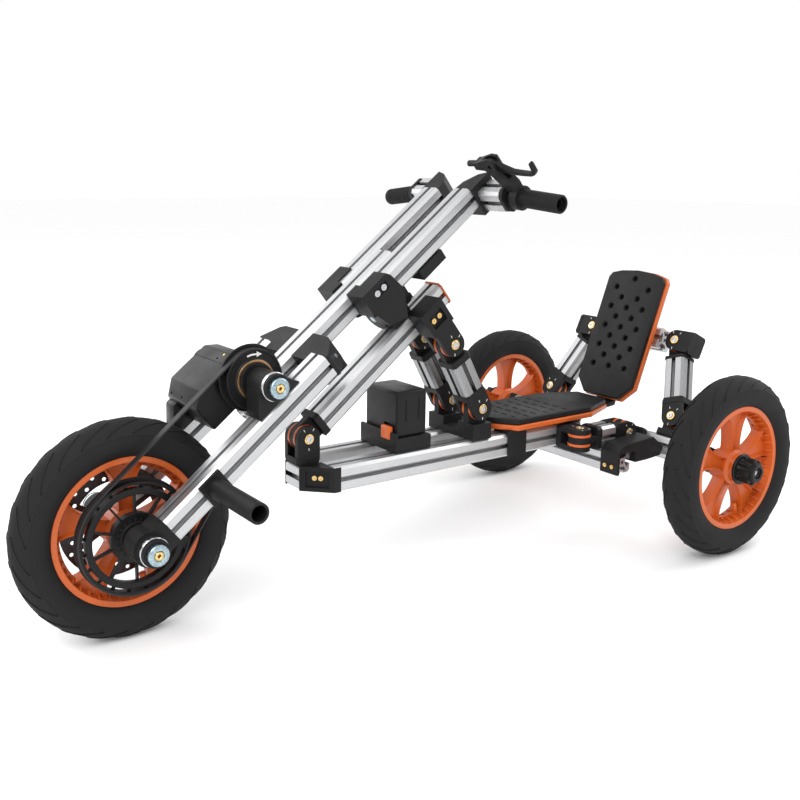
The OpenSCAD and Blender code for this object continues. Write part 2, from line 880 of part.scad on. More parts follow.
// triangular bracket from x0 to the leg's outer face
module drive_bracket(x0) {
    difference() {
        union() {
            translate([x0, 0, 0]) rotate([90, 0, 90]) linear_extrude(leg_x + half_p - x0)
                polygon([[drive_s - 44, half_p + gap], [drive_s + 36, half_p + gap],
                         [drive_s + 30, half_p + 8], [drive_s + 14, drive_m + 14],
                         [drive_s - 14, drive_m + 14], [drive_s - 40, half_p + 10]]);
            translate([0, drive_s, drive_m]) along_x(20, x0, leg_x + half_p + 6);
        }
        translate([0, drive_s, drive_m]) along_x(axle_r + press, 50, 120);
    }
}

module foot_pegs() {
    color([0.12, 0.12, 0.12]) in_fork() both_sides()
        translate([0, peg_s, 0]) difference() {
            union() {
                box(leg_x + half_p + gap, leg_x + half_p + 5, -19, 19, -19, 19);
                along_x(grip_r, leg_x + half_p + 4, peg_end);
            }
            along_x(grip_r - 3.5, leg_x + half_p + 12, peg_end + 1);
        }
}

module handlebar_brackets() {
    color([0.13, 0.13, 0.13]) in_fork() both_sides()
        translate([0, 0, bar_m - half_p - 0.8]) linear_extrude(prof + 12)
            polygon([[half_p + 1, bar_beam_top + gap], [half_p + 5, bar_beam_top + 20],
                     [44, bar_s + 14], [bar_in - gap, bar_s + half_p],
                     [bar_in - gap, bar_beam_top + gap]]);
}

module handlebar_profiles() {
    color("silver") in_fork() both_sides()
        translate([0, bar_s, bar_m]) profile_x(bar_in, bar_out);
}

// the left grip's line: X runs out along the drooping grip from the profile's end
module on_grip() {
    translate([bar_out, bar_s, bar_m]) rotate([0, grip_droop, 0]) children();
}

module grip_flanges() {
    color([0.13, 0.13, 0.13]) in_fork() both_sides() difference() {
        h = half_p + 2;
        union() {
            translate([bar_out + gap, bar_s, bar_m]) rotate([90, 0, 90]) linear_extrude(6)
                polygon([[-h, 10 - h], [10 - h, -h], [h - 10, -h], [h, 10 - h],
                         [h, h - 10], [h - 10, h], [10 - h, h], [-h, h - 10]]);
            on_grip() along_x(grip_r - 3.5, 4, grip_len - 8);
        }
        on_grip() along_x(grip_r - 6, 9, grip_len);
    }
}

module grip_tube() ring_x(grip_r, grip_r - 3.5 + run, 8.6, grip_len);
module left_grip() color([0.12, 0.12, 0.12]) in_fork() on_grip() grip_tube();
module throttle_grip()
    color([0.12, 0.12, 0.12]) in_fork() mirror([1, 0, 0]) on_grip() grip_tube();

// lever body: clamp round the grip's root, arm up to the lever's pivot
module brake_perch() {
    color([0.12, 0.12, 0.12]) in_fork() difference() {
        union() {
            on_grip() along_x(grip_r + 5, 15, 29);
            translate([0, bar_s + 9, bar_m]) rotate([90, 0, 0]) linear_extrude(18)
                polygon([[128, 10], [142, 8], [142, 26], [124, 56], [122, 74], [110, 76],
                         [84, 70], [78, 70], [78, 58], [98, 56], [106, 46]]);
            translate([0, bar_s, bar_m + 64]) along_x(5, 58, 80);
        }
        on_grip() along_x(grip_r + press, 6, 40);
        translate([lever_x, bar_s, bar_m + lever_m]) rotate([90, 0, 0])
            cylinder(r = 3.5 + run, h = 40, center = true);
        translate([0, bar_s, bar_m]) box(98, 160, -4.3, 4.3, 36, 90);
    }
}

// blade with a hooked end, turning on its own pin in the perch's slot
module brake_lever() {
    color([0.12, 0.12, 0.12]) in_fork() translate([0, bar_s, bar_m]) {
        translate([lever_x, 0, lever_m]) rotate([90, 0, 0])
            cylinder(r = 3.5, h = 17.6, center = true);
        translate([0, 4, 0]) rotate([90, 0, 0]) linear_extrude(8)
            polygon([[103, 66], [104, 56], [116, 53], [150, 43], [188, 41], [200, 48],
                     [199, 65], [194, 65], [192, 51], [186, 48], [152, 52], [124, 66],
                     [114, 72], [106, 72]]);
    }
}

// ---- drive ----

// side view of the housing, shrunk by o inside its outline
module housing_2d(o) {
    low = half_p + 2 + o;
    polygon([[drive_s - 87 + o, low], [drive_s - 87 + o, drive_m + 18 - o / 2],
             [drive_s - 64 + o / 2, housing_top - o], [drive_s + 7 - o / 2, housing_top - o],
             [drive_s + 25 - o, drive_m + 21 - o / 2], [drive_s + 25 - o, low]]);
}

// gearbox and motor housing lying across the legs, with a connector box on its front
module drive_housing() {
    wall = 3;
    front = drive_s - 87;
    color([0.13, 0.13, 0.13]) in_fork() difference() {
        union() {
            translate([-housing_out, 0, 0]) rotate([90, 0, 90])
                linear_extrude(housing_out + housing_in) housing_2d(0);
            translate([-78, 0, 0]) rotate([90, 0, 90]) linear_extrude(29)
                polygon([[front - 8, 61], [front + 2, 61], [front + 2, half_p + 2.6],
                         [front - 30, half_p + 2.6], [front - 30, 34], [front - 28, 38]]);
        }
        translate([wall - housing_out, 0, 0]) rotate([90, 0, 90])
            linear_extrude(housing_out + housing_in - 2 * wall) housing_2d(wall);
        translate([0, drive_s, drive_m]) along_x(axle_r + press, -90, 60);
    }
}

module drive_motor() {
    color("silver") in_fork() translate([0, drive_s, drive_m])
        ring_x(22, axle_r + press, 3 - housing_out, housing_in - 3);
}

module drive_disc() {
    color([0.1, 0.1, 0.1]) in_fork() translate([0, drive_s, drive_m]) difference() {
        union() {
            along_x(26, 30, 58.6);
            along_x(drive_belt_r, belt_x - belt_w / 2 - 0.2, belt_x + belt_w / 2 + 0.2);
            along_x(50, belt_x - belt_w / 2 - 3, belt_x - belt_w / 2 - 0.2);
            along_x(44.5, belt_x + belt_w / 2 + 0.2, belt_x + belt_w / 2 + 2.4);
        }
        along_x(axle_r + run, 0, 80);
    }
}

// flat loop round both pulleys: two arcs joined by two slightly thinner straights
module drive_belt() {
    rise = drive_m - axle_drop;
    span = norm([drive_s, rise]);
    k = acos((wheel_belt_r - drive_belt_r) / span);
    run_len = span * sin(k);
    color([0.16, 0.16, 0.16]) in_fork()
        translate([belt_x - belt_w / 2 + 0.4, 0, axle_drop]) rotate([90, 0, 90])
            rotate(atan2(rise, drive_s)) linear_extrude(belt_w - 0.8) {
                belt_arc(wheel_belt_r, -200, wheel_belt_r * cos(k) + 1);
                translate([span, 0]) belt_arc(drive_belt_r, drive_belt_r * cos(k) - 1, 200);
                translate(wheel_belt_r * [cos(k), sin(k)]) rotate(k - 90)
                    translate([-3, gap + 0.1]) square([run_len + 6, belt_t - 0.2]);
                translate(wheel_belt_r * [cos(k), -sin(k)]) rotate(90 - k)
                    translate([-3, 0.1 - gap - belt_t]) square([run_len + 6, belt_t - 0.2]);
            }
}

module belt_arc(r, x0, x1) {
    intersection() {
        difference() {
            circle(r = r + gap + belt_t);
            circle(r = r + gap);
        }
        translate([x0, -200]) square([x1 - x0, 400]);
    }
}

module fork_screws() {
    color([0.6, 0.6, 0.6]) in_fork() both_sides() {
        for (s = [499, 514]) translate([61.5, s, 8]) gold_screw(5);
        translate([leg_x + 7, leg_top + 18.3, 0]) rotate([0, 0, 45]) gold_screw(4);
    }
}

base_rails();
cross_members();
front_corner_brackets();
hinge_sleeves();
hinge_blocks();
hinge_discs();
hinge_bolts();
down_tube();
down_tube_cap();
strut_base_block();
hinge_struts();
head_barrel();
battery_tray();
battery_latch();
battery_pack();
battery_cells();
seat_pan_shell();
seat_pan_pad();
backrest_shell();
backrest_pad();
seat_brackets();
short_profiles();
rear_cross_beams();
rear_gussets();
rear_axle_blocks();
rear_axles();
rear_bearings();
rear_knobs();
frame_screws();
rear_tyre_left();
rear_rim_left();
rear_tyre_right();
rear_rim_right();
central_beam();
handlebar_beams();
lower_legs();
beam_connectors();
head_connectors();
steering_knuckles();
fork_axles();
axle_rings();
axle_brackets();
foot_pegs();
handlebar_brackets();
handlebar_profiles();
grip_flanges();
left_grip();
throttle_grip();
brake_perch();
brake_lever();
drive_housing();
drive_motor();
drive_disc();
drive_belt();
fork_screws();
front_bearings();
front_tyre();
front_rim();
belt_pulley();
brake_disc();
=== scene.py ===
import math

import bmesh
import bpy
from mathutils import Matrix, Vector


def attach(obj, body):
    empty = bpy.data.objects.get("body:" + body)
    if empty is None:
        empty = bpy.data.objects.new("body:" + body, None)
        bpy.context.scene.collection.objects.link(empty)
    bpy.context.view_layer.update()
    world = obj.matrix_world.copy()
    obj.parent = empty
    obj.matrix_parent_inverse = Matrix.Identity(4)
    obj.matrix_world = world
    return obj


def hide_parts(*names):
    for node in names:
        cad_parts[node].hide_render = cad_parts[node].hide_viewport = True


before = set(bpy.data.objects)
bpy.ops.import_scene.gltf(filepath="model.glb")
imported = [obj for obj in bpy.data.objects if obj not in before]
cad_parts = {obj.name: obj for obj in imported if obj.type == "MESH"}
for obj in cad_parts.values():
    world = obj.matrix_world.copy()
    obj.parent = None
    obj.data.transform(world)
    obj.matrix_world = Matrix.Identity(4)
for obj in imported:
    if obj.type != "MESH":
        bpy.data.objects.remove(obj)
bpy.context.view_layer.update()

bl_info = {
    "name": "Chopper trike",
    "version": (1, 0, 0),
    "blender": (4, 5, 0),
    "location": "View3D > Sidebar > Trike",
    "description": "Dresses the profile trike: tyres, rims, pulleys, hinges, seat, grips",
    "category": "Add Mesh",
}

MM = 0.001
# places shared with the CAD part, in millimetres
TYRE_R = 158.75
HALF_BASE = 492.0
HALF_TRACK = 288.0
FORK_ANGLE = math.radians(38.5)
AXLE_DROP = 4.0
DRIVE_S, DRIVE_M = 269.0, 48.0
BAR_S, BAR_M = 763.0, -14.0
RAIL_Z = 188.0
HEAD_DROP = 54.0
BAR_OUT = 112.0
GRIP_DROOP = math.radians(7)
GRIP_LEN = (217.0 - BAR_OUT) / math.cos(GRIP_DROOP)
PIVOT_H = 57.0
HEAD_LOW = 512.0
HALF_PROF = 20.0
SEAT_W = 70.0


def shift(x, y, z):
    return Matrix.Translation(Vector((x, y, z)) * MM)


def turn(angle, axis):
    return Matrix.Rotation(angle, 4, axis)


FORK = shift(0, -HALF_BASE, TYRE_R) @ turn(FORK_ANGLE, "X") @ shift(0, 0, -AXLE_DROP)
# turns a shape made round +Z so that it runs along +X
TO_X = turn(math.pi / 2, "Y")
FRONT_AXLE = shift(0, -HALF_BASE, TYRE_R)
LEFT_AXLE = shift(HALF_TRACK, HALF_BASE, TYRE_R)
RIGHT_AXLE = shift(-HALF_TRACK, HALF_BASE, TYRE_R)
# turns a side outline drawn in XY, thickness along Z, so that it stands along Y and Z
SIDE = Matrix(((0, 0, 1, 0), (1, 0, 0, 0), (0, 1, 0, 0), (0, 0, 0, 1)))
# turns a front outline drawn in XY so that it stands along X and Z
FRONT = Matrix(((1, 0, 0, 0), (0, 0, -1, 0), (0, 1, 0, 0), (0, 0, 0, 1)))
FLIP_Z = Matrix.Diagonal((1, 1, -1, 1))
FLIP_X = Matrix.Diagonal((-1, 1, 1, 1))
DRIVE_AXLE = (shift(0, *(FORK @ shift(0, DRIVE_S, DRIVE_M)).translation.yz / MM))
GRIP_LINE = FORK @ shift(BAR_OUT, BAR_S, BAR_M) @ turn(GRIP_DROOP, "Y")


# ---- hand tools: every shape starts from a primitive and is worked in edit mode ----


def nothing_selected():
    if bpy.context.object and bpy.context.object.mode != "OBJECT":
        bpy.ops.object.mode_set(mode="OBJECT")
    bpy.ops.object.select_all(action="DESELECT")


def only(obj):
    nothing_selected()
    obj.select_set(True)
    bpy.context.view_layer.objects.active = obj


def named(name):
    obj = bpy.context.object
    obj.name = name
    obj.data.name = name
    return obj


def pick(obj, test, kind="FACE"):
    """Selects the faces, edges or corners of the edited mesh that pass a test."""
    bpy.ops.mesh.select_mode(type=kind)
    bpy.ops.mesh.select_all(action="DESELECT")
    work = bmesh.from_edit_mesh(obj.data)
    items = {"FACE": work.faces, "EDGE": work.edges, "VERT": work.verts}[kind]
    items.ensure_lookup_table()
    for item in items:
        if test(item):
            item.select_set(True)
    work.select_flush_mode()
    bmesh.update_edit_mesh(obj.data)


def gone(*objs):
    for obj in objs:
        bpy.data.objects.remove(obj)


def tidy_mesh(obj, merge=0.00002):
    only(obj)
    bpy.ops.object.mode_set(mode="EDIT")
    bpy.ops.mesh.select_all(action="SELECT")
    bpy.ops.mesh.remove_doubles(threshold=merge)
    bpy.ops.mesh.normals_make_consistent(inside=False)
    bpy.ops.object.mode_set(mode="OBJECT")


def put(obj, matrix):
    """Moves a piece to its place and keeps that place in its mesh."""
    only(obj)
    obj.matrix_world = matrix @ obj.matrix_world
    bpy.context.view_layer.update()
    bpy.ops.object.transform_apply(location=True, rotation=True, scale=True)
    if matrix.determinant() < 0:
        tidy_mesh(obj, 0.0000001)
    return obj


def copy_at(obj, matrix, name=None):
    twin = obj.copy()
    twin.data = obj.data.copy()
    twin.name = name or obj.name
    bpy.context.collection.objects.link(twin)
    return put(twin, matrix)


def joined(name, objs):
    nothing_selected()
    for obj in objs:
        obj.select_set(True)
    bpy.context.view_layer.objects.active = objs[0]
    if len(objs) > 1:
        bpy.ops.object.join()
    return named(name)


def modifier(obj, kind, **values):
    only(obj)
    mod = obj.modifiers.new(kind.title(), kind)
    for key, value in values.items():
        setattr(mod, key, value)
    bpy.ops.object.modifier_apply(modifier=mod.name)
    return obj


def rounded(obj, width, segments=2, angle=30):
    """Rounds every edge sharper than angle, width in millimetres."""
    return modifier(obj, "BEVEL", width=width * MM, segments=segments, limit_method="ANGLE",
                    angle_limit=math.radians(angle), harden_normals=False)


def smooth(obj, angle=35):
    only(obj)
    bpy.ops.object.shade_smooth_by_angle(angle=math.radians(angle))
    return obj


def cut(obj, cutters):
    tool = joined("cutter", cutters)
    modifier(obj, "BOOLEAN", operation="DIFFERENCE", solver="EXACT", object=tool)
    gone(tool)
    if not obj.data.polygons:
        raise RuntimeError("the cut left nothing of " + obj.name)
    return obj


def fused(obj, other):
    modifier(obj, "BOOLEAN", operation="UNION", solver="EXACT", object=other)
    gone(other)
    return obj


def lathe(name, steps, around=64, twist=None):
    """Turns a closed outline of (along, radius) steps round Z, by drawing out one ring
    of edges; twist gives each step its own turn about the axis."""
    nothing_selected()
    along, radius = steps[0]
    bpy.ops.mesh.primitive_circle_add(vertices=around, radius=radius * MM,
                                      location=(0, 0, along * MM))
    obj = named(name)
    bpy.ops.object.transform_apply(location=True, rotation=True, scale=True)
    bpy.ops.object.mode_set(mode="EDIT")
    bpy.ops.mesh.select_mode(type="VERT")
    bpy.ops.mesh.select_all(action="SELECT")
    ring = list(steps[1:]) + [steps[0]]
    turns = [0.0] * (len(steps) + 1) if twist is None else list(twist) + [twist[0]]
    for i, (a, r) in enumerate(ring):
        bpy.ops.mesh.extrude_region_move(
            TRANSFORM_OT_translate={"value": (0, 0, (a - along) * MM)})
        bpy.ops.transform.resize(value=(r / radius, r / radius, 1),
                                 center_override=(0, 0, a * MM))
        step = turns[i + 1] - turns[i]
        if abs(step) > 1e-6:
            bpy.ops.transform.rotate(value=step, orient_axis="Z",
                                     center_override=(0, 0, a * MM))
        along, radius = a, r
    bpy.ops.object.mode_set(mode="OBJECT")
    tidy_mesh(obj)
    return obj


def outline(name, points):
    """A flat face in XY with its corners at the given points."""
    nothing_selected()
    bpy.ops.mesh.primitive_circle_add(vertices=len(points), radius=0.05, fill_type="NGON")
    obj = named(name)
    bpy.ops.object.mode_set(mode="EDIT")
    for i, point in enumerate(points):
        pick(obj, lambda v, i=i: v.index == i, "VERT")
        corner = bmesh.from_edit_mesh(obj.data).verts[i].co
        bpy.ops.transform.translate(
            value=(point[0] * MM - corner.x, point[1] * MM - corner.y, 0))
    bpy.ops.object.mode_set(mode="OBJECT")
    return obj


def plate(name, points, low, high, round_by=0.0, segments=2, angle=30):
    """A flat plate: the outline in XY, drawn out from low to high along Z."""
    obj = outline(name, points)
    bpy.ops.object.mode_set(mode="EDIT")
    bpy.ops.mesh.select_all(action="SELECT")
    bpy.ops.transform.translate(value=(0, 0, low * MM))
    bpy.ops.mesh.extrude_region_move(
        TRANSFORM_OT_translate={"value": (0, 0, (high - low) * MM)})
    bpy.ops.object.mode_set(mode="OBJECT")
    tidy_mesh(obj)
    if round_by:
        rounded(obj, round_by, segments, angle)
    return obj


def block(name, low, high, round_by=0.0, segments=2):
    nothing_selected()
    middle = [(a + b) / 2 * MM for a, b in zip(low, high)]
    size = [abs(b - a) * MM for a, b in zip(low, high)]
    bpy.ops.mesh.primitive_cube_add(size=1, location=middle, scale=size)
    obj = named(name)
    bpy.ops.object.transform_apply(location=True, rotation=True, scale=True)
    if round_by:
        rounded(obj, round_by, segments)
    return obj


def rod(name, radius, low, high, around=32, round_by=0.0):
    """A round bar along Z, its end edges rounded."""
    nothing_selected()
    bpy.ops.mesh.primitive_cylinder_add(vertices=around, radius=radius * MM,
                                        depth=(high - low) * MM,
                                        location=(0, 0, (low + high) / 2 * MM))
    obj = named(name)
    bpy.ops.object.transform_apply(location=True, rotation=True, scale=True)
    if round_by:
        rounded(obj, round_by, 2, 50)
    return obj


def dish(obj, direction, border, depth):
    """Insets the faces that look along direction and sinks their middles."""
    only(obj)
    bpy.ops.object.mode_set(mode="EDIT")
    along = Vector(direction)
    pick(obj, lambda f: f.normal.dot(along) > 0.99)
    bpy.ops.mesh.inset(thickness=border * MM, depth=0)
    bpy.ops.transform.translate(value=along * (-depth * MM))
    bpy.ops.object.mode_set(mode="OBJECT")
    return obj


# ---- finishes ----


class Net:
    """A small helper that adds and links shader nodes."""

    def __init__(self, tree):
        self.tree = tree
        self.nodes = tree.nodes
        self.column = 0

    def add(self, kind, values=None, **props):
        node = self.nodes.new(kind)
        self.column += 1
        node.location = (-1200 + 160 * self.column, -120 * (self.column % 5))
        for key, value in props.items():
            setattr(node, key, value)
        for key, value in (values or {}).items():
            if isinstance(value, bpy.types.NodeSocket):
                self.tree.links.new(value, node.inputs[key])
            else:
                node.inputs[key].default_value = value
        return node

    def link(self, source, target):
        self.tree.links.new(source, target)


def ramp(net, source, low, high, to_low=0.0, to_high=1.0):
    node = net.add("ShaderNodeMapRange", {"Value": source, "From Min": low, "From Max": high,
                                          "To Min": to_low, "To Max": to_high})
    return node.outputs["Result"]


def group(name, inputs, outputs):
    tree = bpy.data.node_groups.new(name, "ShaderNodeTree")
    for label, kind, value in inputs:
        socket = tree.interface.new_socket(name=label, in_out="INPUT", socket_type=kind)
        socket.default_value = value
    for label, kind in outputs:
        tree.interface.new_socket(name=label, in_out="OUTPUT", socket_type=kind)
    net = Net(tree)
    return tree, net, net.add("NodeGroupInput"), net.add("NodeGroupOutput")


def edge_group():
    """Soft moulded edges: a rounded normal and a mask that is 1 along edges."""
    tree, net, source, sink = group(
        "soft_edges", [("Radius", "NodeSocketFloat", 0.0008)],
        [("Normal", "NodeSocketVector"), ("Edge", "NodeSocketFloat")])
    bevel = net.add("ShaderNodeBevel", {"Radius": source.outputs["Radius"]}, samples=4)
    real = net.add("ShaderNodeNewGeometry")
    dot = net.add("ShaderNodeVectorMath", {0: bevel.outputs["Normal"],
                                           1: real.outputs["Normal"]}, operation="DOT_PRODUCT")
    net.link(bevel.outputs["Normal"], sink.inputs["Normal"])
    net.link(ramp(net, dot.outputs["Value"], 0.995, 0.86), sink.inputs["Edge"])
    return tree


def grain_group():
    """Fine moulded grain, slow mottling and scattered scuffs."""
    tree, net, source, sink = group(
        "moulded_grain", [("Grain scale", "NodeSocketFloat", 900.0)],
        [("Grain", "NodeSocketFloat"), ("Mottle", "NodeSocketFloat"),
         ("Scuff", "NodeSocketFloat")])
    place = net.add("ShaderNodeTexCoord").outputs["Object"]
    grain = net.add("ShaderNodeTexVoronoi", {"Vector": place,
                                             "Scale": source.outputs["Grain scale"]})
    mottle = net.add("ShaderNodeTexNoise", {"Vector": place, "Scale": 14.0, "Detail": 6.0,
                                            "Roughness": 0.65})
    streak = net.add("ShaderNodeMapping", {"Vector": place, "Scale": (60.0, 9.0, 240.0),
                                           "Rotation": (0.5, 0.3, 0.2)})
    scuff = net.add("ShaderNodeTexNoise", {"Vector": streak.outputs["Vector"], "Scale": 2.2,
                                           "Detail": 8.0, "Roughness": 0.75})
    net.link(grain.outputs["Distance"], sink.inputs["Grain"])
    net.link(mottle.outputs["Fac"], sink.inputs["Mottle"])
    net.link(ramp(net, scuff.outputs["Fac"], 0.62, 0.8), sink.inputs["Scuff"])
    return tree


def brushed_group():
    """Long draw lines along one direction, for extruded or turned metal."""
    tree, net, source, sink = group(
        "draw_lines", [("Scale", "NodeSocketVector", (900.0, 8.0, 900.0)),
                       ("Turn", "NodeSocketVector", (0.0, 0.0, 0.0))],
        [("Lines", "NodeSocketFloat"), ("Mottle", "NodeSocketFloat")])
    place = net.add("ShaderNodeTexCoord").outputs["Object"]
    turned = net.add("ShaderNodeMapping", {"Vector": place,
                                           "Rotation": source.outputs["Turn"]})
    drawn = net.add("ShaderNodeMapping", {"Vector": turned.outputs["Vector"],
                                          "Scale": source.outputs["Scale"]})
    lines = net.add("ShaderNodeTexNoise", {"Vector": drawn.outputs["Vector"], "Scale": 1.0,
                                           "Detail": 4.0, "Roughness": 0.6})
    mottle = net.add("ShaderNodeTexNoise", {"Vector": place, "Scale": 9.0, "Detail": 5.0})
    net.link(lines.outputs["Fac"], sink.inputs["Lines"])
    net.link(mottle.outputs["Fac"], sink.inputs["Mottle"])
    return tree


SHARED = {}


def shared(name, maker):
    if name not in SHARED:
        SHARED[name] = maker()
    return SHARED[name]


def material(name, roughness=0.5, metallic=0.0, **sockets):
    mat = bpy.data.materials.new(name)
    mat.use_nodes = True
    net = Net(mat.node_tree)
    shader = mat.node_tree.nodes["Principled BSDF"]
    shader.inputs["Metallic"].default_value = metallic
    shader.inputs["Roughness"].default_value = roughness
    for key, value in sockets.items():
        shader.inputs[key.replace("_", " ")].default_value = value
    return mat, net, shader


def soft_edges(net, radius):
    return net.add("ShaderNodeGroup", {"Radius": radius * MM},
                   node_tree=shared("soft_edges", edge_group))


def blended(net, mask, low, high):
    node = net.add("ShaderNodeMix", data_type="RGBA")
    net.link(mask, node.inputs["Factor"])
    for slot, value in (("A", low), ("B", high)):
        socket = [s for s in node.inputs if s.name == slot and s.type == "RGBA"][0]
        if isinstance(value, bpy.types.NodeSocket):
            net.link(value, socket)
        else:
            socket.default_value = (*value, 1.0)
    return [s for s in node.outputs if s.type == "RGBA"][0]


def moulded(name, colour, worn, roughness, grain_scale=900.0, grain=0.25, edge=0.8,
            spread=0.12, wear=0.5, **sockets):
    """Moulded plastic or rubber: grain bump, mottled gloss, paler edges and scuffs."""
    mat, net, shader = material(name, roughness, **sockets)
    fine = net.add("ShaderNodeGroup", {"Grain scale": grain_scale},
                   node_tree=shared("moulded_grain", grain_group))
    rim = soft_edges(net, edge)
    base = blended(net, ramp(net, fine.outputs["Mottle"], 0.3, 0.7),
                   [c * 0.86 for c in colour], [min(1.0, c * 1.14) for c in colour])
    marks = net.add("ShaderNodeMath", {0: rim.outputs["Edge"], 1: fine.outputs["Scuff"]},
                    operation="MAXIMUM")
    faded = net.add("ShaderNodeMath", {0: marks.outputs["Value"], 1: wear},
                    operation="MULTIPLY")
    net.link(blended(net, faded.outputs["Value"], base, worn), shader.inputs["Base Color"])
    net.link(ramp(net, fine.outputs["Mottle"], 0.3, 0.7, roughness - spread,
                  roughness + spread), shader.inputs["Roughness"])
    bump = net.add("ShaderNodeBump", {"Strength": grain, "Distance": 0.0003,
                                      "Height": fine.outputs["Grain"],
                                      "Normal": rim.outputs["Normal"]})
    net.link(bump.outputs["Normal"], shader.inputs["Normal"])
    return mat


def metal(name, colour, dark, roughness, scale, tilt=(0, 0, 0), lines=0.12, edge=0.5,
          **sockets):
    """Drawn, turned or brushed metal: draw lines in gloss and bump, and a painted highlight along
    the edges.
    """
    mat, net, shader = material(name, roughness, 1.0, **sockets)
    drawn = net.add("ShaderNodeGroup", {"Scale": scale, "Turn": tilt},
                    node_tree=shared("draw_lines", brushed_group))
    rim = soft_edges(net, edge)
    base = blended(net, ramp(net, drawn.outputs["Lines"], 0.3, 0.7), dark, colour)
    # painted highlight: the edge mask lifts the colour 15% brighter, standing in for light caught
    # on the edges
    painted_edge_highlight = [min(1.0, c * 1.15) for c in colour]
    net.link(blended(net, rim.outputs["Edge"], base, painted_edge_highlight), shader.inputs["Base Color"])
    gloss = net.add("ShaderNodeMath", {0: drawn.outputs["Lines"], 1: drawn.outputs["Mottle"]},
                    operation="ADD")
    net.link(ramp(net, gloss.outputs["Value"], 0.7, 1.3, roughness - 0.08, roughness + 0.1),
             shader.inputs["Roughness"])
    bump = net.add("ShaderNodeBump", {"Strength": lines, "Distance": 0.0002,
                                      "Height": drawn.outputs["Lines"],
                                      "Normal": rim.outputs["Normal"]})
    net.link(bump.outputs["Normal"], shader.inputs["Normal"])
    return mat


def spangled(name, colour, pale):
    """Zinc plate with crystal spangles."""
    mat, net, shader = material(name, 0.32, 1.0)
    place = net.add("ShaderNodeTexCoord").outputs["Object"]
    cells = net.add("ShaderNodeTexVoronoi", {"Vector": place, "Scale": 420.0})
    noise = net.add("ShaderNodeTexNoise", {"Vector": place, "Scale": 260.0, "Detail": 4.0})
    rim = soft_edges(net, 0.6)
    both = net.add("ShaderNodeMath", {0: cells.outputs["Distance"], 1: noise.outputs["Fac"]},
                   operation="ADD")
    net.link(blended(net, ramp(net, both.outputs["Value"], 0.5, 1.2), colour, pale),
             shader.inputs["Base Color"])
    net.link(ramp(net, noise.outputs["Fac"], 0.3, 0.7, 0.25, 0.45), shader.inputs["Roughness"])
    bump = net.add("ShaderNodeBump", {"Strength": 0.2, "Distance": 0.0002,
                                      "Height": cells.outputs["Distance"],
                                      "Normal": rim.outputs["Normal"]})
    net.link(bump.outputs["Normal"], shader.inputs["Normal"])
    return mat


FINISHES = {}


def finish_of(name):
    """The finish called name, made the first time it is asked for."""
    if name in FINISHES:
        return FINISHES[name]
    colours = bpy.context.scene.trike_colours
    black = tuple(colours.black)
    orange = tuple(colours.orange)
    silver = tuple(colours.aluminium)
    rubber = tuple(colours.rubber)
    dull = tuple(c * 0.86 for c in silver)
    fork_tilt = (-FORK_ANGLE, 0.0, 0.0)
    makers = {
        "aluminium_y": lambda: metal(name, silver, dull, 0.46, (700.0, 5.0, 700.0)),
        "aluminium_x": lambda: metal(name, silver, dull, 0.46, (5.0, 700.0, 700.0)),
        "aluminium_fork": lambda: metal(name, silver, dull, 0.46, (700.0, 5.0, 700.0), fork_tilt),
        "aluminium_strut": lambda: metal(name, tuple(c * 0.62 for c in silver),
                                         tuple(c * 0.45 for c in silver), 0.36,
                                         (700.0, 700.0, 5.0)),
        "black": lambda: moulded(name, black, (0.07, 0.07, 0.072), 0.52, wear=0.25,
                                 Specular_IOR_Level=0.22),
        "black_smooth": lambda: moulded(name, black, (0.06, 0.06, 0.062), 0.4, 1500.0, 0.1,
                                        wear=0.2, Specular_IOR_Level=0.2),
        "orange": lambda: moulded(name, orange, tuple(min(1.0, c * 1.25 + 0.04) for c in orange),
                                  0.4, 1300.0, 0.12, wear=0.45),
        "tyre": lambda: moulded(name, rubber, (0.075, 0.075, 0.075), 0.75, 700.0, 0.35, 1.2,
                                wear=0.2, Specular_IOR_Level=0.18),
        "grip": lambda: moulded(name, black, (0.06, 0.06, 0.062), 0.62, 1100.0, 0.5,
                                wear=0.2, Specular_IOR_Level=0.18),
        "belt": lambda: moulded(name, black, (0.08, 0.08, 0.08), 0.6, 1400.0, 0.3, 0.4),
        "dark_metal": lambda: metal(name, (0.09, 0.09, 0.095), (0.05, 0.05, 0.055), 0.4,
                                    (300.0, 300.0, 300.0)),
        "steel": lambda: metal(name, (0.62, 0.63, 0.65), (0.42, 0.43, 0.45), 0.28,
                               (12.0, 700.0, 700.0)),
        "silver_ring": lambda: metal(name, (0.72, 0.73, 0.74), (0.5, 0.5, 0.52), 0.25,
                                     (900.0, 60.0, 60.0)),
        "bronze": lambda: metal(name, (0.46, 0.28, 0.14), (0.3, 0.17, 0.08), 0.36,
                                (900.0, 60.0, 60.0)),
        "gold": lambda: metal(name, (0.85, 0.6, 0.26), (0.6, 0.38, 0.14), 0.28,
                              (300.0, 300.0, 300.0)),
        "zinc": lambda: spangled(name, (0.17, 0.26, 0.31), (0.4, 0.5, 0.54)),
        "cells": lambda: moulded(name, (0.05, 0.18, 0.42), (0.2, 0.35, 0.55), 0.3),
        "mark": lambda: moulded(name, (0.7, 0.7, 0.69), (0.8, 0.8, 0.8), 0.55, wear=0.2),
        "yellow": lambda: moulded(name, (0.85, 0.68, 0.08), (0.95, 0.85, 0.3), 0.35),
    }
    FINISHES[name] = makers[name]()
    return FINISHES[name]


def dress(obj, name):
    obj.data.materials.clear()
    obj.data.materials.append(finish_of(name))
    return obj


def piece(obj, finish, body, replaces=()):
    """Gives a finished piece its look, its body and the CAD nodes it stands for."""
    if finish:
        dress(obj, finish)
    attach(obj, body)
    if replaces:
        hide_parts(*replaces)
    return obj


# ---- user settings ----


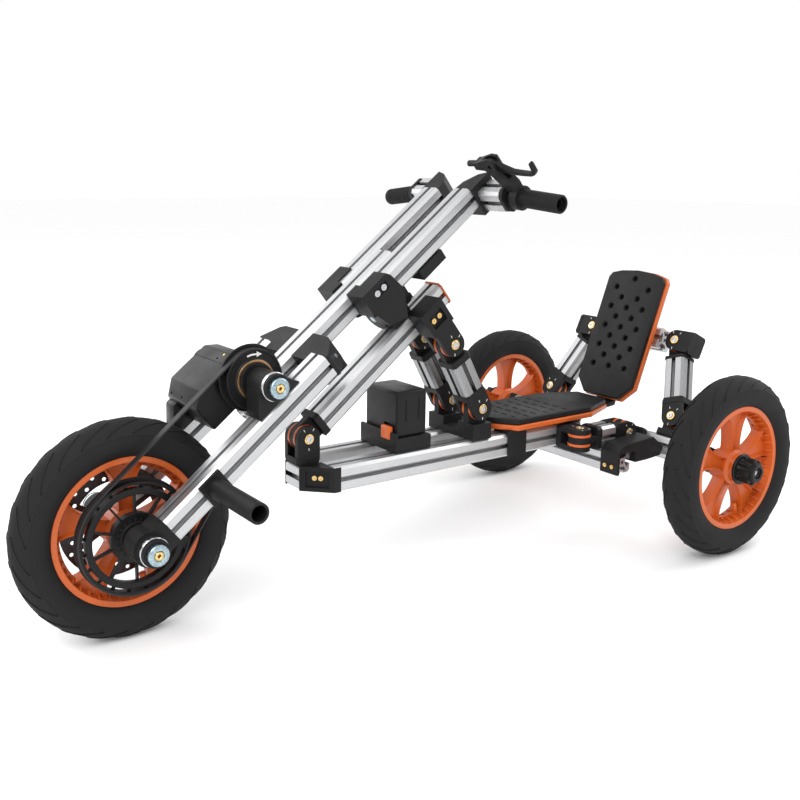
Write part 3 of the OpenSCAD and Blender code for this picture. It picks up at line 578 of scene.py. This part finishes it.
class TrikeColours(bpy.types.PropertyGroup):
    """Colours of the main finishes."""

    black: bpy.props.FloatVectorProperty(
        name="Black plastic", description="Base colour of the moulded black parts",
        subtype="COLOR", size=3, min=0, max=1, default=(0.008, 0.008, 0.0088))
    orange: bpy.props.FloatVectorProperty(
        name="Orange plastic", description="Base colour of the rims and trim",
        subtype="COLOR", size=3, min=0, max=1, default=(0.55, 0.098, 0.0095))
    aluminium: bpy.props.FloatVectorProperty(
        name="Aluminium", description="Base colour of the slotted profiles",
        subtype="COLOR", size=3, min=0, max=1, default=(0.6, 0.605, 0.615))
    rubber: bpy.props.FloatVectorProperty(
        name="Tyre rubber", description="Base colour of the tyres",
        subtype="COLOR", size=3, min=0, max=1, default=(0.0135, 0.0135, 0.0145))


class TrikeSizes(bpy.types.PropertyGroup):
    """Sizes of the details that are modelled here."""

    groove_count: bpy.props.IntProperty(
        name="Tread grooves", description="Curved grooves round each tyre", min=8, max=40,
        default=24)
    groove_depth: bpy.props.FloatProperty(
        name="Groove depth", description="Depth of the tread grooves", unit="LENGTH",
        min=0.0005, max=0.004, default=0.0011)
    rib_count: bpy.props.IntProperty(
        name="Rim ribs", description="Small ribs inside each rim", min=20, max=60, default=40)
    spoke_count: bpy.props.IntProperty(
        name="Pulley spokes", description="Thin spokes of the belt pulley", min=6, max=16,
        default=10)
    light_power: bpy.props.FloatProperty(
        name="Key light", description="Power of the large soft light", min=1, max=2000,
        default=60)


# ---- wheels ----

WHEELS = (
    ("front", FRONT_AXLE, "front_wheel"),
    ("rear_left", LEFT_AXLE, "rear_wheel_left"),
    ("rear_right", RIGHT_AXLE, "rear_wheel_right"),
)

# half of the tyre's section from the crown to the bead: across, radius, lead of the tread
TYRE_HALF = (
    (0.0, 158.7, 24.0), (2.5, 158.6, 23.6), (6.5, 158.0, 21.6), (11.0, 156.7, 18.0),
    (15.5, 154.4, 13.6), (19.5, 151.2, 9.0), (23.0, 147.2, 5.0), (25.4, 143.6, 2.0),
    (26.6, 141.4, 0.6), (27.5, 140.9, 0.0), (27.3, 139.6, 0.0), (28.3, 135.5, 0.0),
    (28.9, 129.5, 0.0), (28.4, 123.0, 0.0), (26.6, 117.0, 0.0), (24.0, 112.6, 0.0),
    (21.4, 109.7, 0.0), (20.2, 108.9, 0.0), (17.2, 108.9, 0.0), (17.2, 103.3, 0.0),
    (12.0, 103.3, 0.0), (13.0, 112.0, 0.0), (20.0, 122.0, 0.0), (20.0, 136.0, 0.0),
    (10.0, 149.0, 0.0), (0.0, 152.5, 0.0),
)


def tyre_mesh(name):
    around = 240
    sizes = bpy.context.scene.trike_sizes
    half = list(TYRE_HALF)
    other = [(-a, r, t) for a, r, t in half[1:-1]][::-1]
    full = half + other
    tyre = lathe(name, [(a, r) for a, r, t in full], around,
                 [math.radians(t) for a, r, t in full])
    # sink every tenth column of faces in the tread into a groove
    every = around // sizes.groove_count
    only(tyre)
    bpy.ops.object.mode_set(mode="EDIT")
    tread = [2, 3, 4, 5, 6, 7]
    last = len(full)
    rings = set(tread) | {last - 1 - k for k in tread}

    def in_groove(face):
        index = sorted(v.index for v in face.verts)
        ring = index[0] // around
        columns = sorted(i % around for i in index)
        column = columns[0] if columns[-1] - columns[0] < 3 else around - 1
        if ring == 0 and index[-1] // around == last - 1:
            ring = last - 1
        return ring in rings and column % every == 0

    pick(tyre, in_groove)
    bpy.ops.mesh.inset(thickness=0.0015, depth=0)
    bpy.ops.transform.shrink_fatten(value=-sizes.groove_depth)
    bpy.ops.object.mode_set(mode="OBJECT")
    smooth(tyre, 38)
    return put(tyre, TO_X)


class TRIKE_OT_tyres(bpy.types.Operator):
    """Tyres with curved shoulder grooves and a sidewall ridge"""

    bl_idname = "trike.tyres"
    bl_label = "Tyres"

    def execute(self, context):
        master = tyre_mesh("tyre_front")
        for key, place, body in WHEELS:
            node = "front_tyre" if key == "front" else key.replace("rear_", "rear_tyre_")
            tyre = copy_at(master, place, "tyre_" + key)
            piece(tyre, "tyre", body, [node])
        gone(master)
        return {"FINISHED"}


SPOKE_EDGE = ((20, 12), (36, 10.4), (50, 10.8), (62, 12.6), (73, 15.6), (83, 20),
              (90, 25), (96, 30.5), (101.6, 34))


def rim_mesh(name):
    barrel = lathe("rim_barrel", [
        (20.6, 100.6), (20.6, 108.2), (20.0, 108.7), (17.8, 108.7), (17.4, 108.2),
        (17.4, 103.0), (-17.4, 103.0), (-17.4, 108.2), (-17.8, 108.7), (-20.0, 108.7),
        (-20.6, 108.2), (-20.6, 100.6), (-20.0, 100.0), (-18.2, 99.6), (-3.0, 98.4),
        (3.0, 98.4), (18.2, 99.6), (20.0, 100.0)], 120)
    parts = [barrel]
    for i in range(5):
        side = [(r, h) for r, h in SPOKE_EDGE]
        points = side + [(r, -h) for r, h in side[::-1]]
        spoke = plate("spoke", points, -12.5, 12.5)
        dish(spoke, (0, 0, 1), 2.8, 9.5)
        dish(spoke, (0, 0, -1), 2.8, 9.5)
        rounded(spoke, 0.8, 2, 40)
        parts.append(put(spoke, turn(math.radians(72 * i + 36), "Z")))
    count = bpy.context.scene.trike_sizes.rib_count
    rib = plate("rib", [(-18, 99.4), (-10, 94.6), (0, 92.6), (10, 94.6), (18, 99.4),
                        (18, 101.6), (-18, 101.6)], -0.9, 0.9, 0.3, 1)
    put(rib, Matrix(((0, 1, 0, 0), (0, 0, 1, 0), (1, 0, 0, 0), (0, 0, 0, 1))))
    for i in range(count):
        parts.append(copy_at(rib, turn(2 * math.pi * i / count, "Z"), "rib"))
    gone(rib)
    web = lathe("web", [(-1.4, 91.8), (1.4, 91.8), (1.4, 100.0), (-1.4, 100.0)], 120)
    hub = lathe("hub", [(24, 14.2), (24, 24.6), (23, 26), (17, 26), (13, 31), (-13, 31),
                        (-17, 26), (-23, 26), (-24, 24.6), (-24, 14.2)], 64)
    boss = rod("valve_boss", 5.2, 76, 100, 24, 0.6)
    put(boss, turn(math.radians(18), "Z") @ turn(math.pi / 2, "Y"))
    parts += [web, hub, boss]
    rim = joined(name, parts)
    tidy_mesh(rim)
    smooth(rim, 32)
    return put(rim, TO_X)


class TRIKE_OT_rims(bpy.types.Operator):
    """Orange rims: flared spokes with raised borders, ribs, web, hub and valve boss"""

    bl_idname = "trike.rims"
    bl_label = "Rims"

    def execute(self, context):
        master = rim_mesh("rim_master")
        for key, place, body in WHEELS:
            node = "front_rim" if key == "front" else key.replace("rear_", "rear_rim_")
            rim = copy_at(master, place, "rim_" + key)
            piece(rim, "orange", body, [node])
        gone(master)
        return {"FINISHED"}


class TRIKE_OT_belt_pulley(bpy.types.Operator):
    """Wheel pulley: toothed rim, inner ring, bridges, thin spokes and a notched hub"""

    bl_idname = "trike.belt_pulley"
    bl_label = "Belt pulley"

    def execute(self, context):
        outer = lathe("pulley_rim", [
            (36.2, 78.4), (36.2, 84.0), (37.6, 84.0), (38.2, 80.0), (49.6, 80.0), (50, 79.4),
            (50, 77.0), (49.4, 76.4), (37, 76.4)], 160)
        inner = lathe("pulley_ring", [
            (38.4, 63.4), (38.4, 70.6), (39.4, 71.6), (48.6, 71.6), (49.6, 70.6),
            (49.6, 63.4), (48.8, 62.4), (39.2, 62.4)], 128)
        hub = lathe("pulley_hub", [
            (24.2, 14.2), (24.2, 30), (36, 30), (38, 36), (45, 36), (46, 35), (46, 24),
            (49.4, 23.4), (50, 22.6), (50, 14.2)], 72)
        parts = [outer, inner, hub]
        count = context.scene.trike_sizes.spoke_count
        spoke = block("spoke", (32, -1.3, 38.5), (64, 1.3, 47), 0.5)
        bridge = block("bridge", (70, -2.2, 39.5), (78, 2.2, 43.5), 0.4)
        tooth = block("notch", (22.5, -1.1, 44), (27.5, 1.1, 48), 0.3)
        for i in range(count):
            parts.append(copy_at(spoke, turn(2 * math.pi * i / count, "Z")))
        for i in range(count * 2):
            parts.append(copy_at(bridge, turn(math.pi * (i + 0.5) / count, "Z")))
            parts.append(copy_at(tooth, turn(math.pi * i / count, "Z")))
        gone(spoke, bridge, tooth)
        pulley = joined("wheel_pulley", parts)
        tidy_mesh(pulley)
        smooth(pulley)
        put(pulley, FRONT_AXLE @ TO_X)
        piece(pulley, "black_smooth", "front_wheel", ["belt_pulley"])
        return {"FINISHED"}


# ---- drive ----


class TRIKE_OT_drive(bpy.types.Operator):
    """Drive disc with its bronze ring and arrow, and the gearbox housing"""

    bl_idname = "trike.drive"
    bl_label = "Drive"

    def execute(self, context):
        place = DRIVE_AXLE @ SIDE
        disc = lathe("drive_disc_body", [
            (35.2, 6.4), (35.2, 49.2), (36, 50), (37.2, 50), (38, 49.2), (38, 42), (50, 42),
            (50, 43.9), (50.6, 44.5), (51.8, 44.5), (52.4, 43.9), (52.4, 41.4), (51.6, 40.6),
            (51.6, 31.4), (52.4, 30.6), (53.2, 30), (53.2, 26), (57.8, 26), (58.4, 25.2),
            (58.4, 6.4)], 128)
        wells = [rod("well", 2.1, 50.6, 55, 16) for i in range(6)]
        for i, well in enumerate(wells):
            put(well, turn(math.radians(60 * i + 20), "Z") @ shift(36, 0, 0))
        cut(disc, wells)
        smooth(disc)
        piece(put(disc, place), "black_smooth", "drive_pulley", ["drive_disc"])
        ring = lathe("drive_disc_ring", [(53.1, 26.3), (53.1, 29.4), (54.6, 29.4), (55, 29),
                                         (55, 26.3)], 96)
        smooth(ring)
        piece(put(ring, place), "bronze", "drive_pulley")
        arrow = plate("drive_arrow", [
            (-12, 33.2), (-5, 35.2), (3, 35.4), (3, 32.6), (11.5, 36.4), (3, 40.8), (3, 38),
            (-6, 37.8), (-12.6, 35.8)], 51.5, 52.0, 0.12, 1)
        piece(put(arrow, place), "mark", "drive_pulley")

        body = plate("housing_body", [
            (182, 22), (182, 66), (205, 84), (276, 84), (294, 69), (294, 22)], -80, 25, 3.4, 3)
        for low, high in (((255, 83.3, -82), (256, 90, 26)),
                          ((180, 30, 24.3), (292, 31, 26)),
                          ((250, 40, 24.3), (251, 66, 26))):
            cut(body, [block("seam", low, high)])
        wells = [put(rod("well", 2.1, -6, 6, 20),
                     shift(s, m, x) @ turn(a, "Z") @ turn(math.pi / 2, "Y"))
                 for s, m, x, a in ((188, 71, -66, 2.2), (188, 71, -30, 2.2),
                                    (262, 84, -12, math.pi / 2))]
        cut(body, wells)
        plug = plate("housing_plug", [
            (152, 23), (152, 33), (155, 38), (173, 60), (176, 61.4), (183, 61.4), (183, 23)],
            -78, -49, 1.8, 2)
        housing = joined("drive_housing_shell", [body, plug])
        smooth(housing)
        piece(put(housing, FORK @ SIDE), "black_smooth", "fork",
              ["drive_housing"])
        lamp = rod("housing_lamp", 1.9, 83.4, 84.6, 20, 0.3)
        piece(put(lamp, FORK @ shift(-4, 271, 0)), "yellow", "fork")
        return {"FINISHED"}


class TRIKE_OT_axle_ends(bpy.types.Operator):
    """Axles: spangled zinc bolt heads with gold centres, polished and black rings"""

    bl_idname = "trike.axle_ends"
    bl_label = "Axle ends"

    def execute(self, context):
        head = lathe("axle_head", [(112.2, 6.2), (112.2, 13.6), (113, 14.8), (124, 14.8),
                                   (125.4, 13.6), (125.9, 12), (125.9, 7.6), (124.6, 6.6),
                                   (124.6, 6.2)], 64)
        centre = lathe("axle_centre", [(118, 2.2), (118, 6.1), (125.4, 6.1), (126, 5.4),
                                       (126, 3), (125.2, 2.2)], 32)
        black = lathe("axle_collar", [(112, 15), (112, 19.2), (112.6, 19.8), (117, 19.8),
                                      (118, 18.8), (118, 15)], 72)
        silver = lathe("axle_ring", [(106.3, 6.4), (106.3, 20.3), (106.9, 20.9), (111.2, 20.9),
                                     (111.8, 20.3), (111.8, 6.4)], 72)
        bar = rod("axle_bar", 6, -118, 118, 32, 0.4)
        parts = {"zinc": [], "gold": [], "black": [], "silver_ring": []}
        for place in (FRONT_AXLE @ TO_X, DRIVE_AXLE @ TO_X):
            parts["zinc"].append(copy_at(bar, place))
            for side in (Matrix.Identity(4), FLIP_Z):
                for key, part in (("zinc", head), ("gold", centre), ("black", black),
                                  ("silver_ring", silver)):
                    parts[key].append(copy_at(part, place @ side))
        gone(head, centre, black, silver, bar)
        low = HEAD_LOW - 16
        parts["zinc"].append(put(rod("steering_pin", 6, low, low + 72, 32, 0.4),
                                 FORK @ shift(0, 0, -HEAD_DROP) @ turn(-math.pi / 2, "X")))
        spacer = lathe("spacer", [(32.4, 6.2), (32.4, 9.6), (32.8, 10), (61.2, 10), (61.6, 9.6),
                                  (61.6, 6.2)], 48)
        for side in (Matrix.Identity(4), FLIP_Z):
            parts["silver_ring"].append(copy_at(spacer, FRONT_AXLE @ TO_X @ side))
        gone(spacer)
        for key, slot, nodes in (("zinc", "zinc_steel", ["fork_axles"]),
                                 ("gold", "gold_screw", []), ("black", "black_plastic", []),
                                 ("silver_ring", "steel", ["axle_rings"])):
            obj = joined("axle_" + key, parts[key])
            smooth(obj)
            piece(obj, key, "fork", nodes)
        return {"FINISHED"}


# ---- hinges ----


def hinge_places():
    """Each hinge's place with its pin along X, from the lengths that set the CAD hinges."""
    sin_f, cos_f = math.sin(FORK_ANGLE), math.cos(FORK_ANGLE)
    down = -2 * HEAD_DROP - AXLE_DROP
    rail_x, strut_y, strut_h, rear_top_y = 40, 120, 74, 320
    tube_s, side_x, beam_x, rear_arm, upright = 565, 97, 155, PIVOT_H + 11, 152
    front_s = (RAIL_Z + PIVOT_H + 3 - TYRE_R - down * cos_f) / sin_f
    front_y = -HALF_BASE + front_s * cos_f - down * sin_f
    top_y = -HALF_BASE + tube_s * cos_f - (down - PIVOT_H) * sin_f
    top_z = TYRE_R + tube_s * sin_f + (down - PIVOT_H) * cos_f
    roll = math.asin((RAIL_Z - TYRE_R) / rear_arm)
    rear_y = HALF_BASE - rear_arm * math.cos(roll)
    lean = math.radians(19.5)
    beam = shift(0, HALF_BASE, TYRE_R) @ turn(-roll, "X")
    quarter = turn(math.pi / 2, "Z")
    places = [shift(0, front_y, RAIL_Z + PIVOT_H + 3)]
    for side in (1, -1):
        places += [shift(side * rail_x, strut_y, RAIL_Z + strut_h),
                   shift(side * rail_x, top_y, top_z),
                   shift(side * side_x, rear_top_y, RAIL_Z) @ TO_X,
                   shift(side * side_x, rear_y, RAIL_Z),
                   beam @ shift(side * beam_x, 0, PIVOT_H) @ quarter,
                   beam @ shift(side * (beam_x - upright * math.sin(lean)), 0,
                                PIVOT_H + upright * math.cos(lean)) @ quarter]
    return places


class TRIKE_OT_hinge_bolts(bpy.types.Operator):
    """Hinge pins, their socket heads with gold rings, and the white angle marks"""

    bl_idname = "trike.hinge_bolts"
    bl_label = "Hinge bolts"

    def execute(self, context):
        pin = rod("pin", 4, -20.4, 20.4, 24)
        head = rod("head", 5.4, 20.2, 22.6, 32, 0.5)
        cut(head, [rod("socket", 2.7, 21.2, 24, 6)])
        ring = lathe("ring", [(20.1, 5.5), (20.1, 8.2), (21.2, 8.2), (21.8, 7.6), (21.8, 5.5)], 48)
        mark = block("mark", (14.2, -0.6, 19.8), (18.6, 0.6, 20.2))
        parts = {"steel": [], "gold": [], "mark": []}
        for place in hinge_places():
            turned = place @ TO_X
            parts["steel"].append(copy_at(pin, turned))
            for side in (Matrix.Identity(4), FLIP_Z):
                parts["steel"].append(copy_at(head, turned @ side))
                parts["gold"].append(copy_at(ring, turned @ side))
                for angle in (-150, 0, 150):
                    parts["mark"].append(
                        copy_at(mark, turned @ side @ turn(math.radians(angle), "Z")))
        gone(pin, head, ring, mark)
        for key, slot, nodes in (("steel", "steel", ["hinge_bolts"]), ("gold", "gold_screw", []),
                                 ("mark", "black_plastic", [])):
            obj = joined("hinge_" + key, parts[key])
            smooth(obj)
            piece(obj, key, "frame", nodes)
        return {"FINISHED"}


# ---- seat ----


def slot_cutter(x, y, low, high):
    return block("slot", (x - 8, y - 2, low), (x + 8, y + 2, high), 1.6, 2)


class TRIKE_OT_seat(bpy.types.Operator):
    """Seat pan and backrest: rounded black pads with air slots on orange shells"""

    bl_idname = "trike.seat"
    bl_label = "Seat"

    def execute(self, context):
        w = SEAT_W
        pan = [(-30, -326), (30, -326), (w, -296), (w, -112), (38, -36), (-38, -36), (-w, -112),
               (-w, -296)]
        inner = [(x * 0.965, (y + 181) * 0.985 - 181) for x, y in pan]
        z = RAIL_Z + HALF_PROF + 6
        shell = plate("seat_pan_tray", pan, z, z + 9, 1.6, 3, 20)
        pad = plate("seat_pan_top", inner, z + 9.1, z + 20.2, 2.6, 4, 20)
        cut(pad, [slot_cutter(x + 7 * (i % 2), y, z + 12, z + 30)
                  for i, y in enumerate(range(-288, -150, 24)) for x in (-46, -23, 0, 23, 46)
                  if abs(x + 7 * (i % 2)) < 55])
        for obj, finish, slot, node in ((shell, "orange", "orange_plastic", "seat_pan_shell"),
                                        (pad, "black", "black_plastic", "seat_pan_pad")):
            smooth(obj)
            piece(put(obj, shift(0, HALF_BASE, 0)), finish, "frame", [node])

        top = 223
        back = [(-44, -38), (44, -38), (w, -10), (w, top - 19), (w - 6, top - 9), (40, top - 3),
                (0, top), (-40, top - 3), (6 - w, top - 9), (-w, top - 19), (-w, -10)]
        inner = [(x * 0.965, (y - 92) * 0.985 + 92) for x, y in back]
        place = shift(0, HALF_BASE - 3, 264.6) @ turn(-math.radians(21), "X") @ FRONT
        shell = plate("backrest_tray", back, -20, -10.6, 1.6, 3, 20)
        pad = plate("backrest_front", inner, -10.5, 0, 2.6, 4, 20)
        rows = [(x * 39, 24 + i * 19.9) for i in range(8)
                for x in ((-1, 0, 1) if i % 2 == 0 else (-0.5, 0.5))]
        rows += [(-39, 24 + 8 * 19.9), (39, 24 + 8 * 19.9), (0, 24 + 9 * 19.9)]
        cut(pad, [put(rod("hole", 5.4, -8.6, 4, 24), shift(x, y, 0)) for x, y in rows])
        cut(pad, [put(rod("hole", 7.2, -1.2, 4, 24), shift(x, y, 0)) for x, y in rows])
        for obj, finish, slot, node in ((shell, "orange", "orange_plastic", "backrest_shell"),
                                        (pad, "black", "black_plastic", "backrest_pad")):
            smooth(obj)
            piece(put(obj, place), finish, "frame", [node])
        return {"FINISHED"}


# ---- handlebar ----


class TRIKE_OT_grips(bpy.types.Operator):
    """Plain left grip, ribbed throttle grip and hooked brake lever"""

    bl_idname = "trike.grips"
    bl_label = "Grips and lever"

    def execute(self, context):
        end = GRIP_LEN
        plain = lathe("grip_left", [
            (8.8, 11.1), (8.8, 14), (9.4, 14.5), (end - 1.4, 14.5), (end, 13.4),
            (end, 11.6), (end - 0.6, 11.1)], 64)
        smooth(plain)
        piece(put(plain, GRIP_LINE @ TO_X), "grip", "fork", ["left_grip"])
        steps = [(8.8, 11.1), (8.8, 13.6), (10, 14.5), (26, 14.5), (27, 13.4)]
        edge = 29.0
        while edge < end - 7:
            steps += [(edge, 13.4), (edge + 0.6, 14.4), (edge + 2.6, 14.4), (edge + 3.2, 13.4)]
            edge += 4.4
        steps += [(end - 2.4, 14.5), (end - 0.8, 14.2), (end, 13.2), (end, 11.1)]
        ribbed = lathe("grip_throttle", steps, 64)
        smooth(ribbed)
        piece(put(ribbed, FLIP_X @ GRIP_LINE @ TO_X), "grip", "throttle",
              ["throttle_grip"])

        lever = plate("lever_blade", [
            (103, 66), (104, 56), (116, 53), (134, 47.6), (150, 43.6), (170, 41.8), (188, 41),
            (196, 43.4), (200.5, 48.5), (200, 64), (197, 66.6), (194, 64.5), (193, 53), (186, 48),
            (170, 49.4), (152, 52), (136, 59.6), (124, 66), (114, 72), (106, 72)],
            -4, 4, 2.2, 3)
        smooth(lever)
        piece(put(lever, FORK @ shift(0, BAR_S, BAR_M) @ FRONT), "black_smooth", "lever",
              ["brake_lever"])
        return {"FINISHED"}


class TRIKE_OT_knobs(bpy.types.Operator):
    """Rear axle knobs: flange, eight soft lobes and a hexagon hole"""

    bl_idname = "trike.knobs"
    bl_label = "Rear knobs"

    def execute(self, context):
        start = HALF_TRACK + 24.6
        body = lathe("knob_body", [
            (0, 6.1), (0, 26.2), (0.8, 27), (3.4, 27), (5, 25.6), (5.6, 21), (8, 19.6),
            (28, 17.6), (32.4, 16.6), (34, 14.6), (34, 10.4), (33, 9.6), (24, 9.4),
            (24, 6.1)], 72)
        lobe = rod("lobe", 4.6, 5, 27, 24, 1.6)
        lobes = [copy_at(lobe, turn(math.radians(45 * i), "Z") @ shift(18.6, 0, 0))
                 for i in range(8)]
        gone(lobe)
        nut = lathe("nut", [(24.2, 6.3), (24.2, 9.2), (31, 9.2), (31.8, 8.4), (31.8, 6.3)], 6)
        knob = joined("knob", [body] + lobes + [nut])
        put(knob, shift(0, 0, start))
        smooth(knob)
        left = copy_at(knob, LEFT_AXLE @ shift(-HALF_TRACK, 0, 0) @ TO_X, "knob_left")
        right = copy_at(knob, RIGHT_AXLE @ shift(HALF_TRACK, 0, 0) @ TO_X @ FLIP_Z, "knob_right")
        gone(knob)
        both = joined("rear_knob_pair", [left, right])
        piece(both, "black_smooth", "frame", ["rear_knobs"])
        return {"FINISHED"}


# ---- battery ----


class TRIKE_OT_battery(bpy.types.Operator):
    """Battery pack with a domed top and side slots, its tray, and the orange latch"""

    bl_idname = "trike.battery"
    bl_label = "Battery"

    def execute(self, context):
        y = -HALF_BASE + 473
        low = RAIL_Z + 44
        pack = block("pack", (-45, y - 30, low + 0.3), (45, y + 30, low + 76), 4.5, 4)
        cuts = [block("slot", (43.4, y + d - 1.4, low + 26), (47, y + d + 1.4, low + 62), 1, 2)
                for d in (-13, 13)]
        cut(pack, cuts)
        cut(pack, [block("catch", (9, y - 34, low - 3), (37, y - 24.6, low + 21.5))])
        smooth(pack)
        piece(pack, "black_smooth", "battery", ["battery_pack"])

        z = RAIL_Z + HALF_PROF
        tray = block("tray", (-50, y - 37, z + 0.1), (50, y + 37, low), 2.4, 3)
        lip = block("tray_lip", (-50, y - 37, z + 6), (50, y - 31, low + 9), 1.6, 2)
        fused(tray, lip)
        cut(tray, [block("notch", (10.6, y - 40, low - 4.4), (35.4, y - 22, low + 20))])
        smooth(tray)
        piece(tray, "black", "frame", ["battery_tray"])

        latch = block("latch_plate", (11, y - 39, low - 4), (35, y - 30.6, low + 18), 2.4, 3)
        dish(latch, (0, -1, 0), 2.6, 0.9)
        smooth(latch)
        piece(latch, "orange", "latch", ["battery_latch"])
        return {"FINISHED"}


# ---- carried-over CAD nodes ----

CARRIED = {
    "aluminium_y": ("base_rails", "short_profiles"),
    "aluminium_x": ("cross_members", "rear_cross_beams", "handlebar_profiles"),
    "aluminium_fork": ("down_tube", "central_beam", "handlebar_beams", "lower_legs"),
    "aluminium_strut": ("hinge_struts",),
    "steel": ("hinge_bolts", "rear_axles", "rear_bearings", "front_bearings", "fork_screws",
              "drive_motor"),
    "silver_ring": ("axle_rings",),
    "zinc": ("fork_axles",),
    "gold": ("frame_screws",),
    "orange": ("hinge_discs", "down_tube_cap", "battery_latch", "seat_pan_shell",
               "backrest_shell"),
    "dark_metal": ("brake_disc",),
    "belt": ("drive_belt",),
    "grip": ("left_grip", "throttle_grip"),
    "cells": ("battery_cells",),
}


class TRIKE_OT_carried(bpy.types.Operator):
    """Gives the CAD pieces that stay in view their metal, plastic and rubber finishes"""

    bl_idname = "trike.carried"
    bl_label = "CAD pieces"

    def execute(self, context):
        chosen = {node: name for name, nodes in CARRIED.items() for node in nodes}
        for node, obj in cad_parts.items():
            dress(obj, chosen.get(node, "black"))
        return {"FINISHED"}


# ---- stage ----


class TRIKE_OT_stage(bpy.types.Operator):
    """Pale floor, soft lights and the camera"""

    bl_idname = "trike.stage"
    bl_label = "Stage"

    def execute(self, context):
        nothing_selected()
        bpy.ops.mesh.primitive_plane_add(size=40, location=(0, 0, -0.0002))
        floor = named("floor")
        bpy.ops.object.transform_apply(location=True, rotation=True, scale=True)
        mat, net, shader = material("pale_floor", 0.9)
        place = net.add("ShaderNodeTexCoord").outputs["Object"]
        noise = net.add("ShaderNodeTexNoise", {"Vector": place, "Scale": 3.0})
        net.link(blended(net, noise.outputs["Fac"], (0.97, 0.97, 0.97), (0.99, 0.99, 0.99)),
                 shader.inputs["Base Color"])
        floor.data.materials.append(mat)

        world = bpy.data.worlds.new("studio")
        world.use_nodes = True
        sky = world.node_tree.nodes["Background"]
        sky.inputs["Color"].default_value = (1, 1, 1, 1)
        sky.inputs["Strength"].default_value = 1.0
        context.scene.world = world
        context.scene.view_settings.view_transform = "Standard"

        power = context.scene.trike_sizes.light_power
        for name, spot, size, share in (
                ("key", (1.6, -2.2, 2.6), 2.2, 1.0), ("fill", (-2.4, -1.4, 1.8), 2.5, 0.5),
                ("back", (0.6, 2.6, 2.4), 2.2, 0.7)):
            nothing_selected()
            bpy.ops.object.light_add(type="AREA", location=spot)
            lamp = bpy.context.object
            lamp.name = name + "_light"
            lamp.data.energy = power * share
            lamp.data.shape = "DISK"
            lamp.data.size = size
            aim = Vector((0, 0, 0.3)) - Vector(spot)
            lamp.rotation_euler = aim.to_track_quat("-Z", "Y").to_euler()

        azimuth, elevation, roll = (math.radians(a) for a in (54.59, 11.06, 0.65))
        back = Vector((math.sin(azimuth) * math.cos(elevation),
                       -math.cos(azimuth) * math.cos(elevation), math.sin(elevation)))
        data = bpy.data.cameras.new("camera")
        camera = bpy.data.objects.new("camera", data)
        context.collection.objects.link(camera)
        turned = back.to_track_quat("Z", "Y").to_matrix().to_4x4() @ turn(roll, "Z")
        camera.matrix_world = shift(1265.7, -956.7, 654.3) @ turned
        data.sensor_width = 36.0
        data.lens = 974.1 / 800 * 36.0
        data.shift_x = (400 - 377.8) / 800
        data.shift_y = (362.5 - 400) / 800
        context.scene.camera = camera
        return {"FINISHED"}


class TRIKE_PT_panel(bpy.types.Panel):
    """Lists the pieces and the settings"""

    bl_idname = "TRIKE_PT_panel"
    bl_label = "Chopper trike"
    bl_space_type = "VIEW_3D"
    bl_region_type = "UI"
    bl_category = "Trike"

    def draw(self, context):
        layout = self.layout
        for settings in (context.scene.trike_colours, context.scene.trike_sizes):
            for key in settings.__annotations__:
                layout.prop(settings, key)
        for maker in OPERATORS:
            layout.operator(maker.bl_idname)


OPERATORS = (TRIKE_OT_stage, TRIKE_OT_carried, TRIKE_OT_tyres, TRIKE_OT_rims,
             TRIKE_OT_belt_pulley, TRIKE_OT_drive, TRIKE_OT_axle_ends, TRIKE_OT_hinge_bolts,
             TRIKE_OT_seat, TRIKE_OT_grips, TRIKE_OT_knobs, TRIKE_OT_battery)
CLASSES = (TrikeColours, TrikeSizes) + OPERATORS + (TRIKE_PT_panel,)


def register():
    for item in CLASSES:
        bpy.utils.register_class(item)
    bpy.types.Scene.trike_colours = bpy.props.PointerProperty(type=TrikeColours)
    bpy.types.Scene.trike_sizes = bpy.props.PointerProperty(type=TrikeSizes)


def unregister():
    del bpy.types.Scene.trike_sizes
    del bpy.types.Scene.trike_colours
    for item in reversed(CLASSES):
        bpy.utils.unregister_class(item)


def main():
    register()
    for maker in OPERATORS:
        group_name, action = maker.bl_idname.split(".")
        getattr(getattr(bpy.ops, group_name), action)()


if __name__ == "__main__":
    main()
